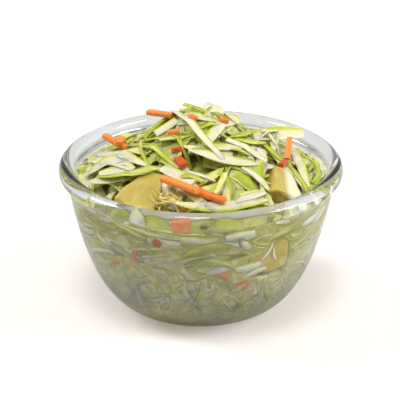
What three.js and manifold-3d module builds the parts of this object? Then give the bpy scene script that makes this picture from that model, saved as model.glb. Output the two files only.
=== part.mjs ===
// A glass bowl of coleslaw with pineapple, heaped above the rim.
// Millimetres, +Z up, origin at the middle of the bowl's foot, +X to the right and -Y to the front.
// Nodes: the glass bowl, the heap of shredded cabbage and carrot, and three chunks of pineapple.
import * as THREE from "three";
import { mergeVertices } from "three/addons/utils/BufferGeometryUtils.js";
import Module from "manifold-3d";

const wasm = await Module();
wasm.setup();

// Bowl
const rimDiameter = 140;
const bowlHeight = 75;
const beadRadius = 4; // the rolled rim
const footRadius = 28;
const wallTopRadius = 66.4; // outside, where the wall meets the bead
const wallThickness = 3.4;
const footThickness = 4.6;
const wallBow = [1.29, 2.62]; // exponents of the wall's curve, from a steep side to a round bottom
const bowlSides = 44;

// Heap
const glassGap = 0.45; // between the slaw and the glass
const wallLayer = 2.5; // depth of the shreds that lie against the glass
const topLayer = 4; // depth of the loose shreds over the core
const domeHeight = 92; // outer surface of the heap at its middle
const tuftHeight = 7; // the tangle of shreds that stands above the dome
const tuftAt = { x: -5, y: 8, spread: 14 };
const edgeHeight = { front: 74, side: 69, back: 57 };
const heapMiddle = { x: 2, y: 6 };
const coreSides = 36;
const chunkGap = 0.35; // between a chunk and the slaw around it

// Shreds
const shredSink = 0.6; // how far a shred presses into what it lies on
const shredSag = 0.002; // how much it sags between two rests, for each square millimetre of its step
const endDroop = 1.1; // how far its ends hang below a straight line
const standUp = 2.5; // how high its ends may stand over what is below them
const chunkClearance = 2;
const looseShreds = 84;
const looseSpread = 58; // radius that the loose shreds are spread over
const looseStep = 9; // length between two bends
const wallRows = 4;
const wallShredsPerRow = 6;
const wallShredThickness = 2.6;
const wallStep = 7;
const lowestWallShred = 17;
const cellSize = 1; // of the height map that the shreds are laid on

// A seeded random draw, so that each run gives the same heap.
function seededRandom(seed) {
  let state = seed;
  return () => {
    state = (state + 0x6d2b79f5) | 0;
    let t = Math.imul(state ^ (state >>> 15), 1 | state);
    t = (t + Math.imul(t ^ (t >>> 7), 61 | t)) ^ t;
    return ((t ^ (t >>> 14)) >>> 0) / 4294967296;
  };
}

const radians = THREE.MathUtils.degToRad;
const lerp = THREE.MathUtils.lerp;
const clamp = THREE.MathUtils.clamp;

// Solids

function toSolid(geometry) {
  const plain = geometry.clone();
  for (const name of Object.keys(plain.attributes)) if (name !== "position") plain.deleteAttribute(name);
  const merged = mergeVertices(plain, 1e-4);
  const solid = new wasm.Manifold(
    new wasm.Mesh({
      numProp: 3,
      vertProperties: merged.attributes.position.array,
      triVerts: new Uint32Array(merged.index.array),
    }),
  );
  if (solid.volume() < 0) throw new Error("a piece is inside out");
  return solid;
}

// The largest body of a solid, with scraps dropped and sealed hollows filled.
function largestBody(solid) {
  return solid.decompose().reduce((best, body) => (body.volume() > best.volume() ? body : best));
}

function toGeometry(solid) {
  const mesh = solid.getMesh();
  const geometry = new THREE.BufferGeometry();
  geometry.setAttribute("position", new THREE.BufferAttribute(mesh.vertProperties, 3));
  geometry.setIndex(new THREE.BufferAttribute(mesh.triVerts, 1));
  geometry.computeVertexNormals();
  return geometry;
}

// Bowl

const beadHeight = bowlHeight - beadRadius;
const beadMiddle = rimDiameter / 2 - beadRadius;
const innerTopRadius = wallTopRadius - wallThickness;
const innerFootRadius = footRadius - 2.5;

// Radius of a wall that rises from a round bottom to the bead.
function wallRadius(z, bottom, footR, topR) {
  const depth = clamp((beadHeight - z) / (beadHeight - bottom), 0, 1);
  return footR + (topR - footR) * (1 - depth ** wallBow[0]) ** (1 / wallBow[1]);
}

const innerRadius = (z) => wallRadius(z, footThickness, innerFootRadius, innerTopRadius);

// Heights along a wall, closer together where it rounds into the bottom.
function wallHeights(bottom, top, steps) {
  return Array.from({ length: steps + 1 }, (_, i) => lerp(bottom, top, (i / steps) ** 2.2));
}

const wallSteps = 7;
const underBead = beadHeight - beadRadius;
const innerBeadStart = beadHeight - 3;

function bowlGeometry() {
  const profile = [new THREE.Vector2(0, 0)];
  for (const z of wallHeights(0, underBead, wallSteps))
    profile.push(new THREE.Vector2(wallRadius(z, 0, footRadius, wallTopRadius), z));
  for (let turn = -60; turn <= 180; turn += 30) {
    const angle = radians(turn);
    const radius = beadMiddle + beadRadius * Math.cos(angle);
    profile.push(new THREE.Vector2(radius, beadHeight + beadRadius * Math.sin(angle)));
  }
  for (const z of wallHeights(footThickness, innerBeadStart, wallSteps).reverse())
    profile.push(new THREE.Vector2(innerRadius(z), z));
  profile.push(new THREE.Vector2(0, footThickness));
  return new THREE.LatheGeometry(profile, bowlSides).rotateX(Math.PI / 2);
}

const mouthRadius = beadMiddle - beadRadius - glassGap;

// The space inside the glass that the slaw may take, open upwards.
function spaceInGlass() {
  const bottom = footThickness + glassGap;
  const above = 2 * bowlHeight;
  const profile = [new THREE.Vector2(0, bottom)];
  for (const z of wallHeights(bottom, innerBeadStart, wallSteps + 3))
    profile.push(new THREE.Vector2(innerRadius(z - glassGap) - glassGap, z));
  profile.push(new THREE.Vector2(mouthRadius, beadHeight - 1));
  profile.push(new THREE.Vector2(mouthRadius, above), new THREE.Vector2(0, above));
  return toSolid(new THREE.LatheGeometry(profile, bowlSides).rotateX(Math.PI / 2));
}

// Heap

const heapRadius = innerTopRadius - 2;

// Height at which the heap meets the glass, by the direction from its middle.
function edgeHeightAt(angle) {
  const forward = -Math.sin(angle);
  return lerp(edgeHeight.side, forward > 0 ? edgeHeight.front : edgeHeight.back, Math.abs(forward) ** 1.5);
}

// Outer surface of the heap over a point of the plan, loose shreds included.
function heapHeight(x, y) {
  const dx = x - heapMiddle.x;
  const dy = y - heapMiddle.y;
  const angle = Math.atan2(dy, dx);
  const along = heapMiddle.x * Math.cos(angle) + heapMiddle.y * Math.sin(angle);
  const reach = Math.sqrt(along ** 2 - heapMiddle.x ** 2 - heapMiddle.y ** 2 + heapRadius ** 2) - along;
  const share = clamp(Math.hypot(dx, dy) / reach, 0, 1);
  const edge = edgeHeightAt(angle);
  const fromTuft = Math.hypot(x - tuftAt.x, y - tuftAt.y) / tuftAt.spread;
  const tuft = tuftHeight * Math.exp(-(fromTuft ** 2) / 2);
  return edge + (domeHeight - edge) * (1 - share ** 1.5) + tuft;
}

// Lumps of a few millimetres, so that the core isn't smooth.
function lump(x, y) {
  const long = Math.sin(x * 0.31 + 1.3 * Math.sin(y * 0.17));
  const short = Math.sin(y * 0.39 + 2 + Math.sin(x * 0.23));
  return 0.9 * long + 0.7 * short;
}

const coreHeight = (x, y) => heapHeight(x, y) - topLayer + lump(x, y);

// The packed slaw below the shreds that show: a sphere's rings moved onto the heap and down the glass.
function coreGeometry() {
  const topRings = 9;
  const sideRings = 8;
  const rings = topRings + sideRings;
  const geometry = new THREE.SphereGeometry(1, coreSides, rings);
  const position = geometry.attributes.position;
  const bottom = footThickness + glassGap;
  for (let i = 0; i < position.count; i++) {
    const ring = Math.floor(i / (coreSides + 1));
    const angle = ((i % (coreSides + 1)) / coreSides) * 2 * Math.PI;
    const edgeZ = edgeHeightAt(angle) - topLayer;
    const coreWall = (z) => innerRadius(z - wallLayer * 0.6) - wallLayer;
    let radius;
    let z;
    if (ring <= topRings) {
      const share = ring / topRings;
      radius = coreWall(edgeZ) * share;
      z = lerp(coreHeight(radius * Math.cos(angle), radius * Math.sin(angle)), edgeZ, share ** 6);
    } else {
      z = lerp(bottom, edgeZ, ((rings - ring) / sideRings) ** 1.8);
      radius = ring === rings ? 0 : coreWall(z);
    }
    position.setXYZ(i, radius * Math.cos(angle), radius * Math.sin(angle), z);
  }
  return geometry;
}

// Height map

const cells = Math.ceil(rimDiameter / cellSize) + 1;
const cellAt = (v) => clamp(Math.round(v / cellSize + (cells - 1) / 2), 0, cells - 1);
const heightMap = new Float64Array(cells * cells);
for (let row = 0; row < cells; row++)
  for (let column = 0; column < cells; column++) {
    const x = (column - (cells - 1) / 2) * cellSize;
    const y = (row - (cells - 1) / 2) * cellSize;
    const inwards = Math.min(1, heapRadius / Math.hypot(x, y));
    heightMap[row * cells + column] = coreHeight(x * inwards, y * inwards);
  }

const mapIndex = (x, y) => cellAt(y) * cells + cellAt(x);

// Pineapple

// Each is turned in its own plane by spin, tipped forward by tip and turned about the bowl's axis by turn.
const chunks = [
  { at: [-25, -39, 73.5], inner: 16, outer: 42, angle: 34, thickness: 13, spin: -96, tip: 34, turn: -26 },
  { at: [37, -30, 73], inner: 15, outer: 38, angle: 32, thickness: 13, spin: -150, tip: 42, turn: 75 },
  { at: [26.5, -40.5, 46], inner: 18, outer: 42, angle: 36, thickness: 11, spin: 8, tip: 110, turn: 33 },
];

function chunkPlace(chunk) {
  const turned = (name, angle) => new THREE.Matrix4()[name](radians(angle));
  return new THREE.Matrix4()
    .makeTranslation(...chunk.at)
    .multiply(turned("makeRotationZ", chunk.turn))
    .multiply(turned("makeRotationX", chunk.tip))
    .multiply(turned("makeRotationZ", chunk.spin));
}

// A chunk is a sector of a pineapple ring with soft edges. Its place in the slaw is larger by a gap.
function chunkGeometry(chunk, gap = 0) {
  const half = radians(chunk.angle) / 2;
  const middle = (chunk.inner + chunk.outer) / 2;
  const bevel = 1.2;
  const grow = gap - bevel;
  const outer = chunk.outer + grow;
  const inner = chunk.inner - grow;
  const shape = new THREE.Shape();
  const corner = (radius, side) => {
    const angle = side * (half + grow / radius);
    return [radius * Math.cos(angle) - middle, radius * Math.sin(angle)];
  };
  shape.moveTo(...corner(inner, -1));
  shape.lineTo(...corner(outer, -1));
  shape.absarc(-middle, 0, outer, -half - grow / outer, half + grow / outer, false);
  shape.lineTo(...corner(inner, 1));
  shape.absarc(-middle, 0, inner, half + grow / inner, -half - grow / inner, true);
  const depth = chunk.thickness + 2 * grow;
  const geometry = new THREE.ExtrudeGeometry(shape, {
    depth,
    bevelThickness: bevel,
    bevelSize: bevel,
    bevelSegments: 2,
    curveSegments: 4,
    steps: 1,
  });
  return geometry.translate(0, 0, -depth / 2).applyMatrix4(chunkPlace(chunk));
}

// Whether a point is too near a chunk for a shred to pass.
function nearChunk(point, margin) {
  return chunks.some((chunk) => {
    const local = point.clone().applyMatrix4(chunkPlace(chunk).invert());
    const halfLength = (chunk.outer - chunk.inner) / 2;
    const halfWidth = chunk.outer * Math.sin(radians(chunk.angle) / 2);
    const inside = (distance, half) => Math.abs(distance) < half + margin;
    return inside(local.x, halfLength) && inside(local.y, halfWidth) && inside(local.z, chunk.thickness / 2);
  });
}

// Shreds

// Width of a shred at a share of its length, as a part of its full width.
const shareOfWidth = (along, taper) => lerp(1, Math.sin(Math.PI * lerp(0.1, 0.9, along)), taper);

// A ribbon along points that have side and up directions. Taper 1 gives a pointed lens, 0 an even strip.
function ribbonGeometry(path, width, thickness, taper) {
  const last = path.length - 1;
  const positions = [];
  const index = [];
  path.forEach(({ at, side, up }, i) => {
    const halfWidth = (width / 2) * shareOfWidth(i / last, taper);
    const halfThick = (thickness / 2) * shareOfWidth(i / last, taper * 0.4);
    for (const [s, u] of [[-1, -1], [1, -1], [1, 1], [-1, 1]]) {
      const corner = at.clone().addScaledVector(side, s * halfWidth).addScaledVector(up, u * halfThick);
      positions.push(...corner.toArray());
    }
  });
  for (let i = 0; i < last; i++)
    for (let k = 0; k < 4; k++) {
      const a = i * 4 + k;
      const b = i * 4 + ((k + 1) % 4);
      index.push(a, b, b + 4, a, b + 4, a + 4);
    }
  const end = last * 4;
  index.push(0, 2, 1, 0, 3, 2, end, end + 1, end + 2, end, end + 2, end + 3);
  const geometry = new THREE.BufferGeometry();
  geometry.setAttribute("position", new THREE.Float32BufferAttribute(positions, 3));
  geometry.setIndex(index);
  return geometry;
}

// Side and up directions along a line, rolled about it by an angle that twists from end to end.
function withFrames(points, upAt, roll, twist) {
  const last = points.length - 1;
  return points.map((at, i) => {
    const before = points[Math.max(i - 1, 0)];
    const after = points[Math.min(i + 1, last)];
    const along = new THREE.Vector3().subVectors(after, before).normalize();
    const side = new THREE.Vector3().crossVectors(upAt(at), along).normalize();
    const up = new THREE.Vector3().crossVectors(along, side);
    const angle = roll + twist * (i / last - 0.5);
    return { at, side: side.clone().applyAxisAngle(along, angle), up: up.applyAxisAngle(along, angle) };
  });
}

// Points of the plan along a strip that turns evenly by bend from end to end, kept inside the glass.
function planLine({ x, y, heading, length, bend = 0 }, steps) {
  const points = [];
  const start = radians(heading) - radians(bend) / 2;
  let px = 0;
  let py = 0;
  for (let i = 0; i <= steps; i++) {
    points.push(new THREE.Vector3(px, py, 0));
    const direction = start + (radians(bend) * (i + 0.5)) / steps;
    px += (length / steps) * Math.cos(direction);
    py += (length / steps) * Math.sin(direction);
  }
  const middle = points.reduce((sum, p) => sum.add(p), new THREE.Vector3()).divideScalar(points.length);
  const place = new THREE.Vector3(x, y, 0).sub(middle);
  return points.map((p) => p.add(place).clampLength(0, mouthRadius - 1.4));
}

// Room behind the heap that no shred may reach.
const freeSpace = { halfWidth: 18, front: 42, bottom: 62 };
function inFreeSpace(point) {
  return Math.abs(point.x) < freeSpace.halfWidth && point.y > freeSpace.front && point.z > freeSpace.bottom;
}

// The longest run of points that is clear of the chunks and the free space.
function clearRun(points) {
  let best = { from: 0, count: 0 };
  let run = { from: 0, count: 0 };
  points.forEach((p, i) => {
    const blocked = nearChunk(p, chunkClearance) || inFreeSpace(p);
    run = blocked ? { from: i + 1, count: 0 } : { from: run.from, count: run.count + 1 };
    if (run.count > best.count) best = run;
  });
  return best;
}

// Points across a shred, each with its height over the shred's middle line.
function pointsAcross(line, i, shred) {
  const { width, thickness, taper, roll = 0, twist = 0 } = shred;
  const last = line.length - 1;
  const at = Math.min(Math.floor(i), last - 1);
  const middle = line[at].clone().lerp(line[at + 1], i - at);
  const along = new THREE.Vector3().subVectors(line[at + 1], line[at]).setZ(0).normalize();
  const angle = radians(roll + twist * (i / last - 0.5));
  const half = (width / 2) * shareOfWidth(i / last, taper);
  return [-1, -0.6, -0.2, 0.2, 0.6, 1].map((s) => ({
    x: middle.x - along.y * s * half * Math.cos(angle),
    y: middle.y + along.x * s * half * Math.cos(angle),
    over: -s * half * Math.sin(angle),
    halfThick: (thickness / 2) * Math.cos(angle),
    middle,
  }));
}

// Lays a shred on the height map: it rests on the high places, sags between them, and raises the map.
function laidShred(shred) {
  const { width, thickness, taper, roll = 0, twist = 0, tilt } = shred;
  const steps = Math.max(3, Math.round(shred.length / looseStep));
  const step = shred.length / steps;
  const line = planLine(shred, steps);
  const floor = line.map((_, i) => {
    const across = pointsAcross(line, i, shred);
    return Math.max(...across.map((p) => heightMap[mapIndex(p.x, p.y)] - p.over + p.halfThick)) - shredSink;
  });
  if (tilt === undefined) {
    const sag = shredSag * step ** 2;
    const ends = [[0, 1, 2], [steps, steps - 1, steps - 2]];
    const height = [...floor];
    for (let pass = 0; pass < 60; pass++) {
      for (let i = 1; i < steps; i++)
        height[i] = Math.max(floor[i], (height[i - 1] + height[i + 1]) / 2 - sag);
      for (const [end, next, after] of ends)
        height[end] = clamp(2 * height[next] - height[after] - endDroop, floor[end], floor[end] + standUp);
    }
    line.forEach((p, i) => (p.z = height[i]));
  } else {
    const slope = Math.tan(radians(tilt)) * step;
    const lift = Math.max(...floor.map((z, i) => z - slope * i));
    line.forEach((p, i) => (p.z = lift + slope * i));
  }
  const clear = clearRun(line);
  if (clear.count < 3) return null;
  for (let i = clear.from; i < clear.from + clear.count - 1; i += cellSize / step)
    for (const p of pointsAcross(line, i, shred)) {
      const index = mapIndex(p.x, p.y);
      heightMap[index] = Math.max(heightMap[index], p.middle.z + p.over + p.halfThick);
    }
  const kept = line.slice(clear.from, clear.from + clear.count);
  const path = withFrames(kept, () => new THREE.Vector3(0, 0, 1), radians(roll), radians(twist));
  return toSolid(ribbonGeometry(path, width, thickness, taper));
}

// Loose shreds over the whole heap, with the longest first.
function looseShredRule(random) {
  const goldenAngle = Math.PI * (3 - Math.sqrt(5)); // spreads them evenly
  const shreds = [];
  for (let i = 0; i < looseShreds; i++) {
    const outwards = (i + 0.5) / looseShreds;
    const radius = looseSpread * outwards ** 0.38;
    shreds.push({
      x: radius * Math.cos(i * goldenAngle) + 5 * (random() - 0.5),
      y: radius * Math.sin(i * goldenAngle) + 5 * (random() - 0.5),
      heading: 360 * random(),
      length: lerp(14, 30, outwards) * lerp(0.8, 1.2, random()),
      width: lerp(2.6, 5.2, random() ** 1.6),
      thickness: lerp(1.7, 2.2, random()),
      bend: 110 * (random() - 0.5),
      roll: 90 * (random() - 0.5),
      twist: 60 * (random() - 0.5),
      taper: random(),
    });
  }
  return shreds.sort((a, b) => b.length - a.length);
}

// The large shreds and carrot sticks that give the heap its look, from the lowest to the topmost.
const cabbage = { width: 5, thickness: 2, taper: 0.7 };
const strand = { width: 2.8, thickness: 1.9, taper: 0.3 };
const carrot = { width: 3.6, thickness: 2.6, taper: 0 };
const placedShreds = [
  { ...carrot, x: -10, y: -22, heading: -70, length: 12 },
  { ...carrot, x: 37, y: -10, heading: 150, length: 12 },
  { ...cabbage, x: -38, y: -17, heading: -46, length: 46, width: 10, bend: 24, roll: -14 },
  { ...cabbage, x: 46, y: -12, heading: -78, length: 38, bend: -20, width: 4.5 },
  { ...cabbage, x: 11, y: -53, heading: 10, length: 50, bend: 34, width: 5.5, roll: -30 },
  { ...cabbage, x: -40, y: 22, heading: 60, length: 30, bend: 40 },
  { ...cabbage, x: 28, y: 34, heading: -35, length: 34, bend: -36 },
  { ...cabbage, x: -14, y: 30, heading: 12, length: 32, bend: 30 },
  { ...cabbage, x: 39, y: 13, heading: 42, length: 34, width: 8, roll: 22, bend: 20 },
  { ...strand, x: 52, y: 2, heading: 100, length: 26, bend: 40 },
  { ...strand, x: 34, y: -6, heading: -50, length: 28, bend: -40 },
  { ...cabbage, x: 23, y: -36, heading: -32, length: 25, bend: -40, roll: 25 },
  { ...cabbage, x: -43, y: -10, heading: -44, length: 40, width: 6, bend: 14, roll: -20, taper: 1 },
  { ...strand, x: -27, y: -19, heading: -80, length: 24, bend: 30 },
  { ...strand, x: -21, y: -7, heading: -20, length: 26, bend: -46 },
  { ...strand, x: -16, y: -24, heading: -54, length: 26, bend: -30 },
  { ...strand, x: 2, y: 20, heading: 30, length: 28, bend: 60 },
  { ...carrot, x: 3, y: -49, heading: -26, length: 20 },
  { ...carrot, x: -11, y: -43, heading: -31, length: 21, width: 4 },
  { ...cabbage, x: -10, y: -37, heading: -45, length: 21, width: 6, roll: -18 },
  { ...cabbage, x: 22, y: -19, heading: -29, length: 22, width: 4 },
  { ...cabbage, x: 12, y: -28, heading: -5, length: 37, width: 7, bend: 12, roll: -16, taper: 1 },
  { ...strand, x: -19, y: 5, heading: 56, length: 24, bend: -50 },
  { ...cabbage, x: 11, y: -8, heading: 56, length: 30, width: 5.5, roll: -20 },
  { ...carrot, x: 18, y: 10, heading: 20, length: 14 },
  { ...cabbage, x: 5, y: 2, heading: 10, length: 24, width: 7.5, bend: 20, roll: 30, taper: 1 },
  { ...carrot, x: -37, y: -2, heading: -42, length: 20, tilt: -8 },
  { ...carrot, x: -21, y: 6, heading: -32, length: 20, tilt: 4 },
  { ...carrot, x: 41, y: -3, heading: 80, length: 18, width: 2.8, roll: 50 },
  { ...cabbage, x: -2, y: -13, heading: -53, length: 42, width: 4.5, roll: 12, taper: 0.5 },
  { ...strand, x: 9, y: -47, heading: 66, length: 13, tilt: 22 },
];

// A line of points that lies against the glass round an angle and a height.
function wallLine({ angle, z, length, climb, bend }) {
  const steps = Math.max(2, Math.round(length / wallStep));
  const inset = glassGap + wallShredThickness / 2 + 0.35;
  return Array.from({ length: steps + 1 }, (_, i) => {
    const along = i / steps - 0.5;
    const slope = climb + bend * along;
    const height = z + length * along * Math.sin(slope);
    const radius = innerRadius(height - 1) - inset;
    const around = angle + (length * along * Math.cos(slope)) / radius;
    return new THREE.Vector3(radius * Math.cos(around), radius * Math.sin(around), height);
  });
}

// Shreds that lie against the glass, in rows that climb from the foot to the edge of the heap.
function wallShredSolids(random) {
  const solids = [];
  for (let row = 0; row < wallRows; row++)
    for (let i = 0; i < wallShredsPerRow; i++) {
      const angle = ((i + 0.5 * (row % 2) + 0.5 * random()) / wallShredsPerRow) * 2 * Math.PI;
      const upwards = (row + 0.5 * random()) / (wallRows - 0.6);
      const points = wallLine({
        angle,
        z: lerp(lowestWallShred, edgeHeightAt(angle) - 8, upwards),
        length: lerp(14, 30, random()),
        climb: radians(110 * (random() - 0.5)),
        bend: radians(120 * (random() - 0.5)),
      });
      const clear = clearRun(points);
      if (clear.count < 3) continue;
      const kept = points.slice(clear.from, clear.from + clear.count);
      const outwards = (p) => new THREE.Vector3(p.x, p.y, -0.35 * Math.hypot(p.x, p.y)).normalize();
      const path = withFrames(kept, outwards, 0, 0);
      solids.push(toSolid(ribbonGeometry(path, lerp(2.6, 5, random()), wallShredThickness, random())));
    }
  return solids;
}

function slawGeometry() {
  const random = seededRandom(11);
  let heap = toSolid(coreGeometry());
  const shreds = [...looseShredRule(random), ...placedShreds].map(laidShred).filter(Boolean);
  for (const solid of [...wallShredSolids(random), ...shreds]) heap = heap.add(solid);
  heap = heap.intersect(spaceInGlass());
  for (const chunk of chunks) heap = heap.subtract(toSolid(chunkGeometry(chunk, chunkGap)));
  return toGeometry(largestBody(heap));
}

// Assembly

const glass = new THREE.MeshStandardMaterial({ color: "#c9d0c8", roughness: 0.08 });
glass.transparent = true;
glass.opacity = 0.35;
const slawColour = new THREE.MeshStandardMaterial({ color: "#c8d590", roughness: 0.5 });
const pineappleColour = new THREE.MeshStandardMaterial({ color: "#e3c767", roughness: 0.45 });

function named(name, geometry, material) {
  const mesh = new THREE.Mesh(geometry, material);
  mesh.name = name;
  return mesh;
}

const part = new THREE.Group();
part.add(named("glass_bowl", bowlGeometry(), glass));
part.add(named("slaw_heap", slawGeometry(), slawColour));
chunks.forEach((chunk, i) => {
  part.add(named(`pineapple_chunk_${i + 1}`, chunkGeometry(chunk), pineappleColour));
});

export default part;
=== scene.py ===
# A glass bowl of coleslaw: cabbage and carrot shreds heaped above the rim, thin dressing below, and three
# chunks of pineapple.
import math

import bpy
import numpy as np
from mathutils import Matrix, Vector, noise


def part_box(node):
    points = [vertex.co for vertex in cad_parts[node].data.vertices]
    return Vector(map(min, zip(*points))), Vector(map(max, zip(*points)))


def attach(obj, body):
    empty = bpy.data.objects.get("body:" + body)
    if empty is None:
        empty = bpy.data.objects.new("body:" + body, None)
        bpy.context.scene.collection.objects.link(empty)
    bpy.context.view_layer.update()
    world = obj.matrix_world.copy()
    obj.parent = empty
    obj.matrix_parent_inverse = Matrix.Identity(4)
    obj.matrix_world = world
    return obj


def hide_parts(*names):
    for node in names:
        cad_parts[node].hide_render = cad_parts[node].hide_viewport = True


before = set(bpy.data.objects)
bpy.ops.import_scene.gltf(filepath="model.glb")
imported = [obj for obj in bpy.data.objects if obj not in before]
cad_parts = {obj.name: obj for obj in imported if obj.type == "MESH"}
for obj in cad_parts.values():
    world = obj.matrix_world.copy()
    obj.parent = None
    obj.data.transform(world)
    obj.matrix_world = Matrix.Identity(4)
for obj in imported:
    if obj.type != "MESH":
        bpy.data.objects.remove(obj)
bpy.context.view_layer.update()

mm = 0.001  # lengths below are millimetres until a mesh is made


# Helpers

def linearColour(code):  # from an sRGB hex code
    parts = [int(code[i:i + 2], 16) / 255 for i in (1, 3, 5)]
    return (*[c / 12.92 if c <= 0.04045 else ((c + 0.055) / 1.055) ** 2.4 for c in parts], 1.0)


def addNode(tree, kind, inputs=None, stops=None, **settings):  # one node with its settings and links
    node = tree.nodes.new(kind)
    for name, value in settings.items():
        setattr(node, name, value)
    for place, value in (inputs or {}).items():
        socket = node.inputs[place]
        if isinstance(value, bpy.types.NodeSocket):
            tree.links.new(value, socket)
        else:
            socket.default_value = value
    if stops:  # of a colour ramp: (place, hex) pairs
        elements = node.color_ramp.elements
        while len(elements) < len(stops):
            elements.new(0.5)
        for element, (place, code) in zip(elements, stops):
            element.position = place
            element.color = linearColour(code)
    return node


def newMaterial(name):
    material = bpy.data.materials.new(name)
    material.use_nodes = True
    tree = material.node_tree
    tree.nodes.clear()
    return material, tree


def meshObject(name, points, faces, material):
    mesh = bpy.data.meshes.new(name)
    mesh.from_pydata([tuple(p) for p in np.asarray(points) * mm], [], faces)
    mesh.update()
    mesh.shade_smooth()
    mesh.materials.append(material)
    piece = bpy.data.objects.new(name, mesh)
    bpy.context.scene.collection.objects.link(piece)
    return piece


def keepValues(mesh, name, values):  # one number or one vector for each point of a mesh
    values = np.asarray(values, np.float32)
    kind, field = ("FLOAT", "value") if values.ndim == 1 else ("FLOAT_VECTOR", "vector")
    mesh.attributes.new(name, kind, "POINT").data.foreach_set(field, values.ravel())


def finishPiece(piece, slot, *nodes):
    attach(piece, "root")
    if nodes:
        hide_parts(*nodes)


def waves(size):  # scale of a pattern on Object coordinates, from the size of its spots in millimetres
    return 1 / (size * mm)


def smoothStep(low, high, value):  # 0 up to low, 1 from high, with a soft rise between
    share = np.clip((value - low) / (high - low), 0, 1)
    return share * share * (3 - 2 * share)


# Bowl

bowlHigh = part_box("glass_bowl")[1]
bowl = {
    "rimRadius": bowlHigh.x / mm,
    "height": bowlHigh.z / mm,
    "beadRadius": 4,  # the rolled rim
    "beadTurns": range(-60, 181, 8),  # degrees of its section, from outside over the top
    "footRadius": 28,
    "footInset": 2.5,  # how much narrower the foot is inside
    "footThickness": 4.6,
    "footRounding": 2.2,
    "wallTopRadius": 66.4,  # outside, where the wall meets the bead
    "wallThickness": 3.4,
    "wallEnds": {"outer": 4.3, "inner": 2.6},  # how far under the bead's middle its two sides end
    "wallSteps": {"outer": 32, "inner": 30},
    "crowding": 2.2,  # puts more of the steps near the foot
    "bow": (1.29, 2.62),  # exponents of the wall's curve
    "sides": 192,
    "glass": {"ior": 1.5, "roughness": 0.02, "absorbs": "#A0A6A5", "density": 19, "shade": "#EAEAE5"},
}
beadHeight = bowl["height"] - bowl["beadRadius"]
beadMiddle = bowl["rimRadius"] - bowl["beadRadius"]
innerTopRadius = bowl["wallTopRadius"] - bowl["wallThickness"]
innerFootRadius = bowl["footRadius"] - bowl["footInset"]


def wallRadius(z, bottom, footRadius, topRadius):  # a wall that rises from a round bottom to the bead
    depth = np.clip((beadHeight - z) / (beadHeight - bottom), 0, 1)
    bow = bowl["bow"]
    return footRadius + (topRadius - footRadius) * (1 - depth ** bow[0]) ** (1 / bow[1])


def innerRadius(z):
    return wallRadius(z, bowl["footThickness"], innerFootRadius, innerTopRadius)


def lathe(profile, sides):  # points and faces of a profile turned about +Z, from axis to axis
    turns = np.arange(sides) * 2 * np.pi / sides
    ring = profile[1:-1]
    points = [(0, 0, profile[0][1])]
    for radius, z in ring:
        points += [(radius * math.cos(a), radius * math.sin(a), z) for a in turns]
    points.append((0, 0, profile[-1][1]))
    faces = []
    last = len(points) - 1
    for j in range(sides):
        k = (j + 1) % sides
        faces.append((0, 1 + k, 1 + j))
        for i in range(len(ring) - 1):
            a = 1 + i * sides
            faces.append((a + j, a + k, a + sides + k, a + sides + j))
        a = 1 + (len(ring) - 1) * sides
        faces.append((a + j, a + k, last))
    return points, faces


def wallHeights(side, bottom):  # from just over the bottom up to the bead
    steps = bowl["wallSteps"][side]
    top = beadHeight - bowl["wallEnds"][side]
    return bottom + (np.arange(1, steps + 1) / steps) ** bowl["crowding"] * (top - bottom)


def bowlProfile():  # out along the foot, up the wall, over the bead, then down and in again
    rounding, bead = bowl["footRounding"], bowl["beadRadius"]
    profile = [(0, 0), (bowl["footRadius"] / 2, 0), (bowl["footRadius"] - 1, 0)]
    for z in wallHeights("outer", 0):
        edge = math.sqrt(max(rounding ** 2 - max(rounding - z, 0) ** 2, 0)) - rounding
        profile.append((wallRadius(z, 0, bowl["footRadius"], bowl["wallTopRadius"]) + edge, z))
    for turn in bowl["beadTurns"]:
        a = math.radians(turn)
        profile.append((beadMiddle + bead * math.cos(a), beadHeight + bead * math.sin(a)))
    floor = bowl["footThickness"]
    for z in wallHeights("inner", floor)[::-1]:
        profile.append((innerRadius(z), z))
    profile += [(innerFootRadius, floor), (innerFootRadius / 2, floor), (0, floor)]
    return profile


def glassInside(z):  # inner surface of the glass, with the inner side of the bead
    bead, blend = bowl["beadRadius"], bowl["wallEnds"]["inner"]
    fromBead = np.clip(z - beadHeight, -blend, bead)
    rolled = beadMiddle - np.sqrt(bead ** 2 - np.maximum(fromBead, 0) ** 2)
    share = np.clip(1 + fromBead / blend, 0, 1)
    return innerRadius(np.minimum(z, beadHeight - blend)) * (1 - share) + rolled * share


def glassMaterial():  # pressed soda-lime glass, clear and fire-polished, a warm grey where it is thick
    look = bowl["glass"]
    material, tree = newMaterial("pressedGlass")
    glass = addNode(tree, "ShaderNodeBsdfPrincipled", {
        "Base Color": (1, 1, 1, 1), "Roughness": look["roughness"], "IOR": look["ior"],
        "Transmission Weight": 1.0})
    clear = addNode(tree, "ShaderNodeBsdfTransparent", {"Color": linearColour(look["shade"])})
    ray = addNode(tree, "ShaderNodeLightPath")
    mix = addNode(tree, "ShaderNodeMixShader", {  # plain see-through for shadows, to let the lamps in
        0: ray.outputs["Is Shadow Ray"], 1: glass.outputs[0], 2: clear.outputs[0]})
    depth = addNode(tree, "ShaderNodeVolumeAbsorption", {
        "Color": linearColour(look["absorbs"]), "Density": look["density"]})
    addNode(tree, "ShaderNodeOutputMaterial", {"Surface": mix.outputs[0], "Volume": depth.outputs[0]})
    return material


bowlPiece = meshObject("glassBowl", *lathe(bowlProfile(), bowl["sides"]), glassMaterial())
finishPiece(bowlPiece, "glass", "glass_bowl")
print("bowl made")


# Heap

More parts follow.
